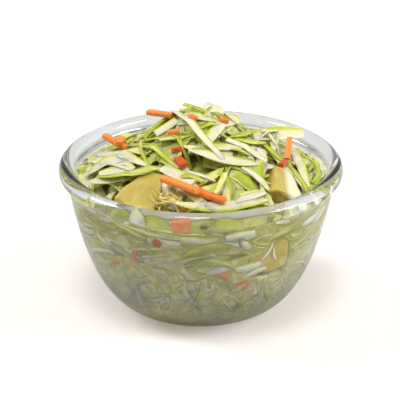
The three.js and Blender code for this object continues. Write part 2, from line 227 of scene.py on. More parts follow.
heap = {
    "middle": (2, 6),  # of the dome, in plan
    "domeHeight": 92,
    "tuft": {"height": 7, "x": -5, "y": 8, "spread": 14},
    "edge": {"front": 74, "side": 69, "back": 57},
    "fall": 1.5,  # exponent of the slopes from the top to the edge and from the side's edge to the front's
    "clearOfGlass": 2, "clearOfBead": 0.6,
}
heapRadius = innerTopRadius - heap["clearOfGlass"]
mouthRadius = beadMiddle - bowl["beadRadius"] - heap["clearOfBead"]


def edgeHeightAt(angle):  # where the heap meets the glass
    forward = -np.sin(angle)
    edge = heap["edge"]
    end = np.where(forward > 0, edge["front"], edge["back"])
    return edge["side"] + (end - edge["side"]) * np.abs(forward) ** heap["fall"]


def heapHeight(x, y):  # outer surface of the heap
    mx, my = heap["middle"]
    dx, dy = x - mx, y - my
    angle = np.arctan2(dy, dx)
    along = mx * np.cos(angle) + my * np.sin(angle)
    reach = np.sqrt(along ** 2 - mx ** 2 - my ** 2 + heapRadius ** 2) - along
    share = np.clip(np.hypot(dx, dy) / reach, 0, 1)
    edge = edgeHeightAt(angle)
    tuft = heap["tuft"]
    fromTuft = np.hypot(x - tuft["x"], y - tuft["y"]) / tuft["spread"]
    dome = (heap["domeHeight"] - edge) * (1 - share ** heap["fall"])
    return edge + dome + tuft["height"] * np.exp(-fromTuft ** 2 / 2)


core = {
    "depth": 7.5,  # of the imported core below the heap's outer surface
    "ripples": (0.9, 0.7),  # heights of its uneven waves, about 20 and 16 mm long
    "edgeDrop": 4, "belowBead": 1.5,  # under the heap's edge and the bead, where it meets the glass
    "proud": 0.06,  # how far it reaches into the glass
    "underFoot": 0.05,  # and into the foot
    "fruitRoom": {"depth": 13, "ends": (-2.8, -1.2)},  # a recess for the pressed chunk, and where it ends
    "loose": 8.0,  # its top counts as this far behind the glass
    "rings": {"sides": 300, "top": 44, "wall": 90},
    "shredSize": 4.76, "patchSize": 11.1,  # of its patterns
    "colours": [(0.36, "#AEA658"), (0.47, "#C4BF6C"), (0.56, "#D6D488"), (0.66, "#E2E0AE")],
    "hollows": ("#A0943E", "#958842"),  # painted shade in the hollows: against the glass, and deep behind it or on top
}


def coreHeight(x, y):
    first, second = core["ripples"]
    long = np.sin(x * 0.31 + 1.3 * np.sin(y * 0.17))
    short = np.sin(y * 0.39 + 2 + np.sin(x * 0.23))
    return heapHeight(x, y) - core["depth"] + first * long + second * short


# Sectors of a pineapple ring, with its inner and outer radius; spin comes first, then tip, then turn
chunks = [
    {"at": (-25, -39, 73.5), "inner": 16, "outer": 42, "angle": 34, "thickness": 13, "rounding": 1.5,
     "spin": -96, "tip": 34, "turn": -26,
     "blunt": (77, 0.5)},  # heights over the first number are squeezed by the second
    {"at": (37, -30, 73), "inner": 15, "outer": 38, "angle": 32, "thickness": 13, "rounding": 1.5,
     "spin": -150, "tip": 42, "turn": 75, "blunt": (75, 0.6), "paintedSheen": 0.9},  # painted sheen: the chunk's right side is paler, as a wet cut face catching the light
    {"at": (26.5, -40.5, 46), "inner": 18, "outer": 42, "angle": 36, "thickness": 11, "rounding": 3.5,
     "spin": 8, "tip": 110, "turn": 33},
]


def ringMiddle(chunk):
    return (chunk["inner"] + chunk["outer"]) / 2


def chunkHalf(chunk):  # half its size outwards, round the ring and along the ring's axis
    width = math.radians(chunk["angle"] / 2) * ringMiddle(chunk)
    return (chunk["outer"] - chunk["inner"]) / 2, width, chunk["thickness"] / 2


def chunkPlace(chunk):  # from the chunk's own frame, where its flat faces look along Z, to the bowl's
    place = Matrix.Translation(chunk["at"])
    for name, axis in (("turn", "Z"), ("tip", "X"), ("spin", "Z")):
        place = place @ Matrix.Rotation(math.radians(chunk[name]), 4, axis)
    return place


pressed = chunks[2]  # the one that lies against the glass
pressedHalf = chunkHalf(pressed)
pressedFrame = chunkPlace(pressed).inverted()
pressedAngle = math.atan2(pressed["at"][1], pressed["at"][0])


def pastFruit(angle, z):  # how far a place on the glass is outside the outline of the pressed chunk
    if math.cos(angle - pressedAngle) <= 0.7:  # on another side of the bowl
        return math.inf
    radius = float(glassInside(z))
    x, y, _ = pressedFrame @ Vector((radius * math.cos(angle), radius * math.sin(angle), z))
    middle, corner = ringMiddle(pressed), pressed["rounding"]
    a = abs(math.hypot(x + middle, y) - middle) - pressedHalf[0] + corner
    b = abs(math.atan2(y, x + middle) * middle) - pressedHalf[1] + corner
    return math.hypot(max(a, 0), max(b, 0)) + min(max(a, b), 0) - corner


def roomForFruit(angle, z):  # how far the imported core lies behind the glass
    room = core["fruitRoom"]
    return room["depth"] * float(1 - smoothStep(*room["ends"], pastFruit(angle, z))) - core["proud"]


dressing = {
    "film": {"from": 52, "full": 16, "thin": 0.05, "thick": 1.25},  # heights where it starts and is thickest
    "patchSize": 13.3,
    # the milky tint of the dressing, with painted shade: darker towards the foot
    "milkAndShade": {"low": 8, "high": 45, "colours": [(0.0, "#93917C"), (0.5, "#B0B098"), (1.0, "#C6C7AC")]},
}


def dressed(tree, place, colour):  # a colour under a film of dressing that thickens towards the foot; its milky tint is darkened lower down as painted shade
    film, milkAndShade = dressing["film"], dressing["milkAndShade"]
    height = addNode(tree, "ShaderNodeSeparateXYZ", {0: place})
    low = addNode(tree, "ShaderNodeMapRange", {
        "Value": height.outputs["Z"], "From Min": film["from"] * mm, "From Max": film["full"] * mm,
        "To Min": film["thin"], "To Max": film["thick"]})
    patches = addNode(tree, "ShaderNodeTexNoise", {
        "Vector": place, "Scale": waves(dressing["patchSize"]), "Detail": 2})
    cover = addNode(tree, "ShaderNodeMath", {
        0: low.outputs[0], 1: patches.outputs["Fac"]}, operation="MULTIPLY", use_clamp=True)
    share = addNode(tree, "ShaderNodeMapRange", {
        "Value": height.outputs["Z"], "From Min": milkAndShade["low"] * mm, "From Max": milkAndShade["high"] * mm})
    tint = addNode(tree, "ShaderNodeValToRGB", {"Fac": share.outputs[0]}, stops=milkAndShade["colours"])
    return addNode(tree, "ShaderNodeMix", {
        "Factor": cover.outputs[0], 6: colour, 7: tint.outputs[0]}, data_type="RGBA").outputs[2]


def coreMaterial():  # packed cabbage in thin dressing, with painted shade of dull olive in the hollows, milky under the dressing
    material, tree = newMaterial("packedSlaw")
    place = addNode(tree, "ShaderNodeTexCoord").outputs["Object"]
    behind = addNode(tree, "ShaderNodeAttribute", attribute_name="behind").outputs["Fac"]
    shreds = addNode(tree, "ShaderNodeTexNoise", {
        "Vector": place, "Scale": waves(core["shredSize"]), "Detail": 3, "Distortion": 1.0})
    patches = addNode(tree, "ShaderNodeTexNoise", {
        "Vector": place, "Scale": waves(core["patchSize"]), "Detail": 2})
    colour = addNode(tree, "ShaderNodeValToRGB", {"Fac": shreds.outputs["Fac"]}, stops=core["colours"])
    height = addNode(tree, "ShaderNodeSeparateXYZ", {0: place})
    # painted shade: the hollows darken in noise patches, further behind the glass and higher up the wall
    upper = addNode(tree, "ShaderNodeMapRange", {
        "Value": height.outputs["Z"], "From Min": 30 * mm, "From Max": 56 * mm,
        "To Min": -0.35, "To Max": 0.35})
    depths = addNode(tree, "ShaderNodeMath", {
        0: behind, 1: 0.3, 2: upper.outputs[0]}, operation="MULTIPLY_ADD")
    shadeSpots = addNode(tree, "ShaderNodeMath", {
        0: patches.outputs["Fac"], 1: 1.4, 2: depths.outputs[0]}, operation="MULTIPLY_ADD")
    paintedShade = addNode(tree, "ShaderNodeMapRange", {
        "Value": shadeSpots.outputs[0], "From Min": 0.55, "From Max": 1.1, "To Max": 0.85})
    deeperShade = addNode(tree, "ShaderNodeMapRange", {
        "Value": behind, "From Min": 3, "From Max": core["loose"]})
    near, far = [linearColour(code) for code in core["hollows"]]
    shadeColour = addNode(tree, "ShaderNodeMix", {"Factor": deeperShade.outputs[0], 6: near, 7: far}, data_type="RGBA")
    shaded = addNode(tree, "ShaderNodeMix", {
        "Factor": paintedShade.outputs[0], 6: colour.outputs[0], 7: shadeColour.outputs[2]}, data_type="RGBA")
    bump = addNode(tree, "ShaderNodeBump", {
        "Height": shreds.outputs["Fac"], "Strength": 0.6, "Distance": 1 * mm})
    skin = addNode(tree, "ShaderNodeBsdfPrincipled", {
        "Base Color": dressed(tree, place, shaded.outputs[2]), "Roughness": 0.45, "Normal": bump.outputs[0],
        "Subsurface Weight": 0.15, "Subsurface Radius": (4 * mm, 4 * mm, 2 * mm), "Subsurface Scale": 0.5})
    addNode(tree, "ShaderNodeOutputMaterial", {"Surface": skin.outputs[0]})
    return material


def coreShape():  # rings from the top of the heap out to the glass, then down to the foot
    sides, topRings, wallRings = (core["rings"][name] for name in ("sides", "top", "wall"))
    angles = np.arange(sides) * 2 * np.pi / sides
    edge = np.minimum(edgeHeightAt(angles) - core["edgeDrop"], beadHeight - core["belowBead"])
    edgeBehind = np.array([roomForFruit(a, e) for a, e in zip(angles, edge)])
    behind = [core["loose"]]
    points = [(0, 0, float(coreHeight(np.array(0.0), np.array(0.0))))]
    for i in range(1, topRings + 1):
        share = i / topRings
        radius = (glassInside(edge) - edgeBehind) * share
        x, y = radius * np.cos(angles), radius * np.sin(angles)
        z = coreHeight(x, y) * (1 - share ** 8) + edge * share ** 8  # turns down to the edge only near it
        points += list(zip(x, y, z))
        behind += list(core["loose"] + (edgeBehind - core["loose"]) * share ** 20)
    bottom = bowl["footThickness"] - core["underFoot"]
    for i in range(1, wallRings + 1):
        z = bottom + (edge - bottom) * (1 - i / wallRings) ** 1.5
        depth = np.array([roomForFruit(a, h) for a, h in zip(angles, z)])
        radius = glassInside(np.maximum(z, bowl["footThickness"])) - depth
        points += list(zip(radius * np.cos(angles), radius * np.sin(angles), z))
        behind += list(depth)
    points.append((0, 0, bottom))
    behind.append(0.0)
    faces = []
    for j in range(sides):
        k = (j + 1) % sides
        faces.append((0, 1 + j, 1 + k))
        for i in range(topRings + wallRings - 1):
            a = 1 + i * sides
            faces.append((a + j, a + sides + j, a + sides + k, a + k))
        a = 1 + (topRings + wallRings - 1) * sides
        faces.append((a + j, len(points) - 1, a + k))
    return points, faces, behind


corePoints, coreFaces, coreBehind = coreShape()
corePiece = meshObject("slawCore", corePoints, coreFaces, coreMaterial())
keepValues(corePiece.data, "behind", coreBehind)
finishPiece(corePiece, "slaw", "slaw_heap")
print("core made")


# Dressing smeared on the inside of the rim, in front

smear = {
    "from": 205, "to": 335,  # degrees round the bowl
    "low": 69.4, "high": 72.6, "least": 0.5,  # heights, and its height at its ends
    "thickness": 0.5, "proud": 0.08, "ragged": 1.1,
    "steps": (200, 12), "cloudSize": 16.7,
    "colours": [(0.35, "#DEDCB4"), (0.5, "#E9E7CA"), (0.65, "#F2F0DC")],
}


def smearMaterial():  # thin vinegar and oil dressing dried to a milky film
    material, tree = newMaterial("dressingFilm")
    place = addNode(tree, "ShaderNodeTexCoord").outputs["Object"]
    cloud = addNode(tree, "ShaderNodeTexNoise", {
        "Vector": place, "Scale": waves(smear["cloudSize"]), "Detail": 3})
    colour = addNode(tree, "ShaderNodeValToRGB", {"Fac": cloud.outputs["Fac"]}, stops=smear["colours"])
    skin = addNode(tree, "ShaderNodeBsdfPrincipled", {
        "Base Color": colour.outputs[0], "Roughness": 0.3, "IOR": 1.37,
        "Subsurface Weight": 0.8, "Subsurface Radius": (4 * mm, 4 * mm, 3 * mm), "Subsurface Scale": 1.0})
    addNode(tree, "ShaderNodeOutputMaterial", {"Surface": skin.outputs[0]})
    return material


def smearShape():  # a thin closed band against the inner side of the rim, with a ragged upper edge
    turns, rows = smear["steps"]
    points, faces = [], []
    for i in range(turns + 1):
        share = i / turns
        angle = math.radians(smear["from"] + (smear["to"] - smear["from"]) * share)
        ends = min(1.0, 8 * share, 8 * (1 - share)) ** 0.5
        wander = noise.noise(Vector((7 * math.cos(angle), 7 * math.sin(angle), 0.4)))
        low = smear["low"] + smear["least"]
        top = low + (smear["high"] - low + smear["ragged"] * wander) * ends
        for side in (0, 1):  # against the glass, then towards the salad
            for k in range(rows + 1):
                row = k / rows if side == 0 else 1 - k / rows
                z = smear["low"] + (top - smear["low"]) * row
                depth = smear["thickness"] * (1 - row ** 4 * 0.9) * ends if side else 0
                radius = float(glassInside(z)) + smear["proud"] - depth
                points.append((radius * math.cos(angle), radius * math.sin(angle), z))
    ring = 2 * (rows + 1)
    for i in range(turns):
        for k in range(ring):
            a, b = i * ring + k, i * ring + (k + 1) % ring
            faces.append((a, a + ring, b + ring, b))
    faces.append(tuple(range(ring)))
    faces.append(tuple(turns * ring + k for k in range(ring))[::-1])
    return points, faces


smearPiece = meshObject("dressingFilm", *smearShape(), smearMaterial())
finishPiece(smearPiece, "slaw")
print("film made")


# Pineapple

flesh = {
    "steps": (40, 30, 18),
    "fibre": 0.05, "lump": 0.5, "pits": 1.0,  # depths of its relief
    "shrink": 0.35,  # keeps the relief within the chunk's own size
    "pitsFrom": 3,  # how deep under the outer side they begin
    "intoGlass": 0.1,
    "fibreScale": (0.12, 1.5, 0.6),  # a fibre is about 8 mm long, 0.7 mm wide and 1.7 mm deep
    "patchSize": 7.7,
    "colours": [(0.25, "#B6A048"), (0.45, "#BEAC52"), (0.6, "#C8B864"), (0.8, "#D6CA8E")],
    "ripe": "#C4A248", "paintedSheen": "#EFE8CC",
    "sheenFrom": (38.5, 42), "slant": 0.12,  # where the painted sheen starts and ends along X, and how it leans
}


def pineappleMaterial():  # tinned pineapple: wet, translucent, with pale fibres that run out from the core
    material, tree = newMaterial("pineappleFlesh")
    grain = addNode(tree, "ShaderNodeAttribute", attribute_name="grain")
    stretched = addNode(tree, "ShaderNodeMapping", {
        "Vector": grain.outputs["Vector"], "Scale": flesh["fibreScale"]})
    fibres = addNode(tree, "ShaderNodeTexNoise", {"Vector": stretched.outputs[0], "Scale": 1.0, "Detail": 3})
    place = addNode(tree, "ShaderNodeTexCoord").outputs["Object"]
    patches = addNode(tree, "ShaderNodeTexNoise", {
        "Vector": place, "Scale": waves(flesh["patchSize"]), "Detail": 2})
    paintedSheen = addNode(tree, "ShaderNodeAttribute", attribute_name="paintedSheen")
    colour = addNode(tree, "ShaderNodeValToRGB", {"Fac": fibres.outputs["Fac"]}, stops=flesh["colours"])
    deep = addNode(tree, "ShaderNodeMapRange", {
        "Value": patches.outputs["Fac"], "From Min": 0.42, "From Max": 0.7, "To Max": 0.5})
    riper = addNode(tree, "ShaderNodeMix", {
        "Factor": deep.outputs[0], 6: colour.outputs[0], 7: linearColour(flesh["ripe"])}, data_type="RGBA")
    # painted sheen: paler towards a chunk's right side, where a cut face catches the light
    paler = addNode(tree, "ShaderNodeMix", {
        "Factor": paintedSheen.outputs["Fac"], 6: riper.outputs[2],
        7: linearColour(flesh["paintedSheen"])}, data_type="RGBA")
    bump = addNode(tree, "ShaderNodeBump", {
        "Height": fibres.outputs["Fac"], "Strength": 0.08, "Distance": 0.5 * mm})
    skin = addNode(tree, "ShaderNodeBsdfPrincipled", {
        "Base Color": paler.outputs[2], "Roughness": 0.25, "Normal": bump.outputs[0], "IOR": 1.37,
        "Subsurface Weight": 0.6, "Subsurface Radius": (6 * mm, 4.5 * mm, 2 * mm), "Subsurface Scale": 0.8})
    addNode(tree, "ShaderNodeOutputMaterial", {"Surface": skin.outputs[0]})
    return material


def boxSurface(steps):  # points on the faces of a cube from -1 to 1, and its quads, shared at the edges
    index, points, faces = {}, [], []

    def at(key):
        if key not in index:
            index[key] = len(points)
            points.append([2 * key[i] / steps[i] - 1 for i in range(3)])
        return index[key]

    for axis in range(3):
        u, v = (axis + 1) % 3, (axis + 2) % 3
        for end in (0, steps[axis]):
            for i in range(steps[u]):
                for j in range(steps[v]):
                    corners = []
                    for a, b in ((0, 0), (1, 0), (1, 1), (0, 1)):
                        key = [0, 0, 0]
                        key[axis], key[u], key[v] = end, i + a, j + b
                        corners.append(at(tuple(key)))
                    faces.append(tuple(corners if end else corners[::-1]))
    return np.array(points), faces


def chunkShape(chunk, seed):  # a sector of a ring with soft edges, fibrous faces and a pitted outer side
    cube, faces = boxSurface(flesh["steps"])
    middle, rounding = ringMiddle(chunk), chunk["rounding"]
    half = np.array(chunkHalf(chunk))
    box = cube * half
    inner = np.clip(box, -(half - rounding), half - rounding)
    out = box - inner
    outLength = np.linalg.norm(out, axis=1, keepdims=True)
    normal = out / np.maximum(outLength, 1e-9)
    flat = inner + normal * rounding
    push = np.zeros(len(flat))
    for i, (x, y, z) in enumerate(flat):
        fibre = noise.noise(Vector((x * 0.1, y * 1.3, z * 0.9 + seed)))
        lump = noise.noise(Vector((x * 0.16, y * 0.16, z * 0.16 + 7 * seed)))
        pit = noise.noise(Vector((y * 0.35, z * 0.35, 3 * seed)))
        pit *= smoothStep(half[0] - flesh["pitsFrom"], half[0], x)
        push[i] = flesh["fibre"] * fibre + flesh["lump"] * lump + flesh["pits"] * pit - flesh["shrink"]
    flat = flat + normal * push[:, None]
    radius = middle + flat[:, 0]
    theta = flat[:, 1] / middle
    points = np.stack([radius * np.cos(theta) - middle, radius * np.sin(theta), flat[:, 2]], 1)
    place = np.array(chunkPlace(chunk))
    points = points @ place[:3, :3].T + place[:3, 3]
    if "blunt" in chunk:  # its topmost corner has been broken off
        start, squeeze = chunk["blunt"]
        points[:, 2] = np.minimum(points[:, 2], start + (points[:, 2] - start) * squeeze)
    if chunk is pressed:
        radius = np.hypot(points[:, 0], points[:, 1])
        gap = glassInside(points[:, 2]) + flesh["intoGlass"] - radius
        facing = smoothStep(0.55, 0.95, flat[:, 2] / half[2])
        points[:, :2] *= (1 + gap * facing / radius)[:, None]
    return points, faces, flat


fleshMaterial = pineappleMaterial()
chunkPoints = []
for number, chunk in enumerate(chunks, 1):
    points, faces, grain = chunkShape(chunk, number * 3.7)
    piece = meshObject(f"pineappleChunk{number}", points, faces, fleshMaterial)
    keepValues(piece.data, "grain", grain + 11 * number)  # each chunk has its own part of the pattern
    # painted sheen, by the place along X in the bowl, leaning with height
    slanted = points[:, 0] - flesh["slant"] * (80 - points[:, 2])
    keepValues(piece.data, "paintedSheen", smoothStep(*flesh["sheenFrom"], slanted) * chunk.get("paintedSheen", 0))
    finishPiece(piece, "pineapple", f"pineapple_chunk_{number}")
    chunkPoints.append(points)
print("pineapple made")


# Height map that the shreds are laid on

laying = {
    "step": 2.4,  # length between two points of a shred
    "fine": 5,  # how many times finer its top is drawn on the map
    "sink": 0.35,  # how far a shred presses into what is below it
    "sag": 0.0035,  # how much it sags between two rests, for each square millimetre of its step
    "passes": 90,
    "standUp": 5,  # how high its ends may stand over what is below them
    "top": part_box("slaw_heap")[1].z / mm - 0.45,  # no shred rises over it
    "clear": 1,  # of the bead
    "bareFruit": 2,  # fruit that stands this far over the core stays bare of loose shreds
    "onFruit": 0.06, "onHollow": 0.1,  # the shares of a loose shred that may lie on fruit and over a hollow
}
shredDefaults = {"bend": 0, "wave": 0, "roll": 0, "twist": 0, "cup": 0, "taper": 0.4, "spring": 0.8}
cell = 0.5  # of the map
cells = int(2 * bowl["rimRadius"] / cell) + 1
mapAxis = (np.arange(cells) - (cells - 1) / 2) * cell
mapX, mapY = np.meshgrid(mapAxis, mapAxis, indexing="ij")
outwards = np.maximum(1, np.hypot(mapX, mapY) / heapRadius)
heightMap = coreHeight(mapX / outwards, mapY / outwards)
fruitMap = np.zeros((cells, cells), bool)


def mapIndex(x, y):
    i = np.clip(np.rint(x / cell + (cells - 1) / 2).astype(int), 0, cells - 1)
    j = np.clip(np.rint(y / cell + (cells - 1) / 2).astype(int), 0, cells - 1)
    return i, j


for points in chunkPoints[:2]:  # the chunks that stand out of the heap
    i, j = mapIndex(points[:, 0], points[:, 1])
    np.maximum.at(heightMap, (i, j), points[:, 2])
    fruitMap[i, j] = points[:, 2] > coreHeight(points[:, 0], points[:, 1]) + laying["bareFruit"]


# Shreds

across = np.linspace(-1, 1, 5)


# A line of the plan about a middle point, that turns by bend from end to end
def planLine(x, y, heading, length, bend, count, wave=0.0):
    along = (np.arange(count) + 0.5) / count
    start = math.radians(heading - bend / 2)
    direction = start + math.radians(bend) * along + wave * np.sin(2 * math.pi * along)
    step = length / count
    line = np.zeros((count + 1, 2))
    line[1:, 0] = np.cumsum(np.cos(direction) * step)
    line[1:, 1] = np.cumsum(np.sin(direction) * step)
    return line + np.array([x, y]) - line.mean(0)


def alongCurve(points):
    ahead = np.gradient(points, axis=0)
    return ahead / np.linalg.norm(ahead, axis=1, keepdims=True)


def taperAt(share, taper):  # share of the full width at a place along a shred
    return 1 + (np.sin(np.pi * (0.06 + 0.88 * share)) - 1) * taper


def sectionPoints(line, angle, halfWidth):  # plan places across a shred, and their height over its middle
    ahead = alongCurve(line)
    offset = across[None, :] * halfWidth[:, None]
    x = line[:, :1] - ahead[:, 1:] * offset * np.cos(angle)[:, None]
    y = line[:, 1:] + ahead[:, :1] * offset * np.cos(angle)[:, None]
    return x, y, -offset * np.sin(angle)[:, None]


def restOver(floor, sag, spring):  # heights of a limp line that lies on a floor and sags where it spans
    z = floor.copy()
    for _ in range(laying["passes"]):
        z[1:-1] = np.maximum(floor[1:-1], (z[:-2] + z[2:]) / 2 - sag)
        z[0] = np.clip(2 * z[1] - z[2] - spring * sag, floor[0], floor[0] + laying["standUp"])
        z[-1] = np.clip(2 * z[-2] - z[-3] - spring * sag, floor[-1], floor[-1] + laying["standUp"])
    return z


# Rests a shred on the map; limit is how far over the heap's surface a loose one may stand
def layShred(shred, limit=None):
    shred = {**shredDefaults, **shred}
    count = max(5, round(shred["length"] / laying["step"]))
    line = planLine(shred["x"], shred["y"], shred["heading"], shred["length"], shred["bend"], count,
                    shred["wave"])
    share = np.arange(count + 1) / count
    halfWidth = shred["width"] / 2 * taperAt(share, shred["taper"])
    halfThick = shred["thickness"] / 2 * taperAt(share, 0.5 * shred["taper"])
    reach = mouthRadius - laying["clear"] - 0.4 * shred["width"]
    radius = np.hypot(line[:, 0], line[:, 1])
    line *= np.minimum(1, reach / np.maximum(radius, 1e-6))[:, None]
    angle = np.radians(shred["roll"] + shred["twist"] * (share - 0.5))
    x, y, over = sectionPoints(line, angle, halfWidth)
    lift = halfThick[:, None] * np.abs(np.cos(angle))[:, None]
    where = mapIndex(x, y)
    floor = (heightMap[where] - over + lift).max(1) - laying["sink"]
    bare = fruitMap[where].mean() > laying["onFruit"] or hollowMap[where].mean() > laying["onHollow"]
    if limit is not None and bare:
        return None
    if "tilt" in shred:  # stiff, on its highest contact
        slope = math.tan(math.radians(shred["tilt"])) * shred["length"] / count * np.arange(count + 1)
        z = slope + (floor - slope).max()
    else:
        z = restOver(floor, laying["sag"] * (shred["length"] / count) ** 2, shred["spring"])
    z = np.minimum(z, laying["top"] - (over + lift).max(1))
    if limit is not None and (z[:, None] + over + lift - heapHeight(x, y)).max() > limit:
        return None
    fine = np.linspace(0, count, count * laying["fine"] + 1)
    values = (line[:, 0], line[:, 1], z, angle, halfWidth, halfThick)
    fineX, fineY, fineZ, fineAngle, fineHalf, fineThick = (
        np.interp(fine, np.arange(count + 1), value) for value in values)
    x, y, over = sectionPoints(np.stack([fineX, fineY], 1), fineAngle, fineHalf)
    top = fineZ[:, None] + over + fineThick[:, None] * np.abs(np.cos(fineAngle))[:, None]
    np.maximum.at(heightMap, mapIndex(x, y), top)
    centre = np.column_stack([line, z])
    return framed(shred, centre, np.array([0, 0, 1.0]), angle, halfWidth, halfThick)


# A shred's centre line with the directions of its side and its upper face at each point
def framed(shred, centre, upHint, angle, halfWidth, halfThick):
    ahead = alongCurve(centre)
    side = np.cross(np.broadcast_to(upHint, centre.shape), ahead)
    side /= np.linalg.norm(side, axis=1, keepdims=True)
    up = np.cross(ahead, side)
    c, s = np.cos(angle)[:, None], np.sin(angle)[:, None]
    return {"kind": shred["kind"], "centre": centre, "side": side * c - up * s, "up": up * c + side * s,
            "halfWidth": halfWidth, "halfThick": halfThick, "tone": shred["tone"], "edge": shred["edge"],
            "cup": shred["cup"]}


# Geometry Nodes: sweeps a rounded section along each line, by the directions and sizes kept on its points
def shredTree():
    tree = bpy.data.node_groups.new("shredSweep", "GeometryNodeTree")
    face = tree.interface
    face.new_socket("Geometry", in_out="INPUT", socket_type="NodeSocketGeometry")
    face.new_socket("Section Points", in_out="INPUT", socket_type="NodeSocketInt")
    face.new_socket("Squareness", in_out="INPUT", socket_type="NodeSocketFloat")
    face.new_socket("Surface", in_out="INPUT", socket_type="NodeSocketMaterial")
    face.new_socket("Geometry", in_out="OUTPUT", socket_type="NodeSocketGeometry")
    given = addNode(tree, "NodeGroupInput").outputs
    place = addNode(tree, "GeometryNodeInputPosition").outputs[0]
    lines = addNode(tree, "GeometryNodeMeshToCurve", {"Mesh": given["Geometry"]})
    kept = addNode(tree, "GeometryNodeStoreNamedAttribute", {
        "Geometry": lines.outputs[0], "Name": "middle", "Value": place},
        data_type="FLOAT_VECTOR", domain="POINT")
    circle = addNode(tree, "GeometryNodeCurvePrimitiveCircle", {
        "Resolution": given["Section Points"], "Radius": 1.0})
    parts = addNode(tree, "ShaderNodeSeparateXYZ", {0: place})
    profile = circle.outputs[0]
    for name, part in (("across", "X"), ("outward", "Y")):  # a power below 1 squares the circle
        size = addNode(tree, "ShaderNodeMath", {0: parts.outputs[part]}, operation="ABSOLUTE")
        power = addNode(tree, "ShaderNodeMath", {
            0: size.outputs[0], 1: given["Squareness"]}, operation="POWER")
        sign = addNode(tree, "ShaderNodeMath", {0: parts.outputs[part]}, operation="SIGN")
        value = addNode(tree, "ShaderNodeMath", {
            0: power.outputs[0], 1: sign.outputs[0]}, operation="MULTIPLY")
        profile = addNode(tree, "GeometryNodeStoreNamedAttribute", {
            "Geometry": profile, "Name": name, "Value": value.outputs[0]},
            data_type="FLOAT", domain="POINT").outputs[0]
    swept = addNode(tree, "GeometryNodeCurveToMesh", {
        "Curve": kept.outputs[0], "Profile Curve": profile, "Fill Caps": True})
    read = {}
    for name in ("middle", "sideDir", "upDir", "halfWidth", "halfThick", "cup", "across", "outward"):
        kind = "FLOAT_VECTOR" if name in ("middle", "sideDir", "upDir") else "FLOAT"
        named = addNode(tree, "GeometryNodeInputNamedAttribute", {"Name": name}, data_type=kind)
        read[name] = named.outputs[0]
    sideways = addNode(tree, "ShaderNodeMath", {
        0: read["across"], 1: read["halfWidth"]}, operation="MULTIPLY")
    square = addNode(tree, "ShaderNodeMath", {0: read["across"], 1: read["across"]}, operation="MULTIPLY")
    cupped = addNode(tree, "ShaderNodeMath", {0: square.outputs[0], 1: read["cup"]}, operation="MULTIPLY")
    raised = addNode(tree, "ShaderNodeMath", {
        0: cupped.outputs[0], 1: read["halfWidth"]}, operation="MULTIPLY")
    upwards = addNode(tree, "ShaderNodeMath", {
        0: read["outward"], 1: read["halfThick"], 2: raised.outputs[0]}, operation="MULTIPLY_ADD")
    sideVector = addNode(tree, "ShaderNodeVectorMath", {
        0: read["sideDir"], "Scale": sideways.outputs[0]}, operation="SCALE")
    upVector = addNode(tree, "ShaderNodeVectorMath", {
        0: read["upDir"], "Scale": upwards.outputs[0]}, operation="SCALE")
    offset = addNode(tree, "ShaderNodeVectorMath", {
        0: sideVector.outputs[0], 1: upVector.outputs[0]}, operation="ADD")
    point = addNode(tree, "ShaderNodeVectorMath", {0: read["middle"], 1: offset.outputs[0]}, operation="ADD")
    moved = addNode(tree, "GeometryNodeSetPosition", {
        "Geometry": swept.outputs[0], "Position": point.outputs[0]})
    soft = addNode(tree, "GeometryNodeSetShadeSmooth", {"Geometry": moved.outputs[0], "Shade Smooth": True})
    real = addNode(tree, "GeometryNodeRealizeInstances", {"Geometry": soft.outputs[0]})
    coloured = addNode(tree, "GeometryNodeSetMaterial", {
        "Geometry": real.outputs[0], "Material": given["Surface"]})
    addNode(tree, "NodeGroupOutput", {0: coloured.outputs[0]})
    return tree


sweepTree = shredTree()
sweeping = {
    "squareness": {"cabbage": 0.3, "carrot": 0.2, "fibre": 0.3},  # the lower, the sharper the corners
    "apart": 57.0,  # along the pattern, so that no two shreds have the same veins
}


def lineMesh(name, shreds):  # the centre lines of the shreds, with what the sweep and the materials read
    counts = [len(s["centre"]) for s in shreds]
    joined = {key: np.concatenate([s[key] for s in shreds])
              for key in ("centre", "side", "up", "halfWidth", "halfThick")}
    starts = np.cumsum([0] + counts[:-1])
    edges = [(a + i, a + i + 1) for a, n in zip(starts, counts) for i in range(n - 1)]
    mesh = bpy.data.meshes.new(name)
    mesh.from_pydata([tuple(p) for p in joined["centre"] * mm], edges, [])
    keepValues(mesh, "sideDir", joined["side"])
    keepValues(mesh, "upDir", joined["up"])
    for key in ("halfWidth", "halfThick"):
        keepValues(mesh, key, joined[key] * mm)
    for key in ("cup", "tone", "edge"):
        keepValues(mesh, key, np.repeat([s[key] for s in shreds], counts))
    alongs = []
    for number, shred in enumerate(shreds):
        steps = np.linalg.norm(np.diff(shred["centre"], axis=0), axis=1)
        alongs.append(np.r_[0, np.cumsum(steps)] + number * sweeping["apart"])
    keepValues(mesh, "along", np.concatenate(alongs))
    return mesh


def sweptPiece(name, shreds, material, sectionCount, squareness):
    mesh = lineMesh(name + "Lines", shreds)
    lines = bpy.data.objects.new(name + "Lines", mesh)
    bpy.context.scene.collection.objects.link(lines)
    modifier = lines.modifiers.new("sweep", "NODES")
    modifier.node_group = sweepTree
    inputs = {"Section Points": sectionCount, "Squareness": squareness, "Surface": material}
    for item in sweepTree.interface.items_tree:
        if item.in_out == "INPUT" and item.name in inputs:
            modifier[item.identifier] = inputs[item.name]
    shape = lines.evaluated_get(bpy.context.evaluated_depsgraph_get())
    solid = bpy.data.meshes.new_from_object(shape)
    bpy.data.objects.remove(lines)
    bpy.data.meshes.remove(mesh)
    for attributeName in ("sideDir", "upDir", "halfWidth", "halfThick", "cup", "middle"):
        solid.attributes.remove(solid.attributes[attributeName])
    solid.name = name
    piece = bpy.data.objects.new(name, solid)
    bpy.context.scene.collection.objects.link(piece)
    print(f"{name}: {len(shreds)} shreds, {sum(len(p.vertices) - 2 for p in solid.polygons)} triangles")
    return piece


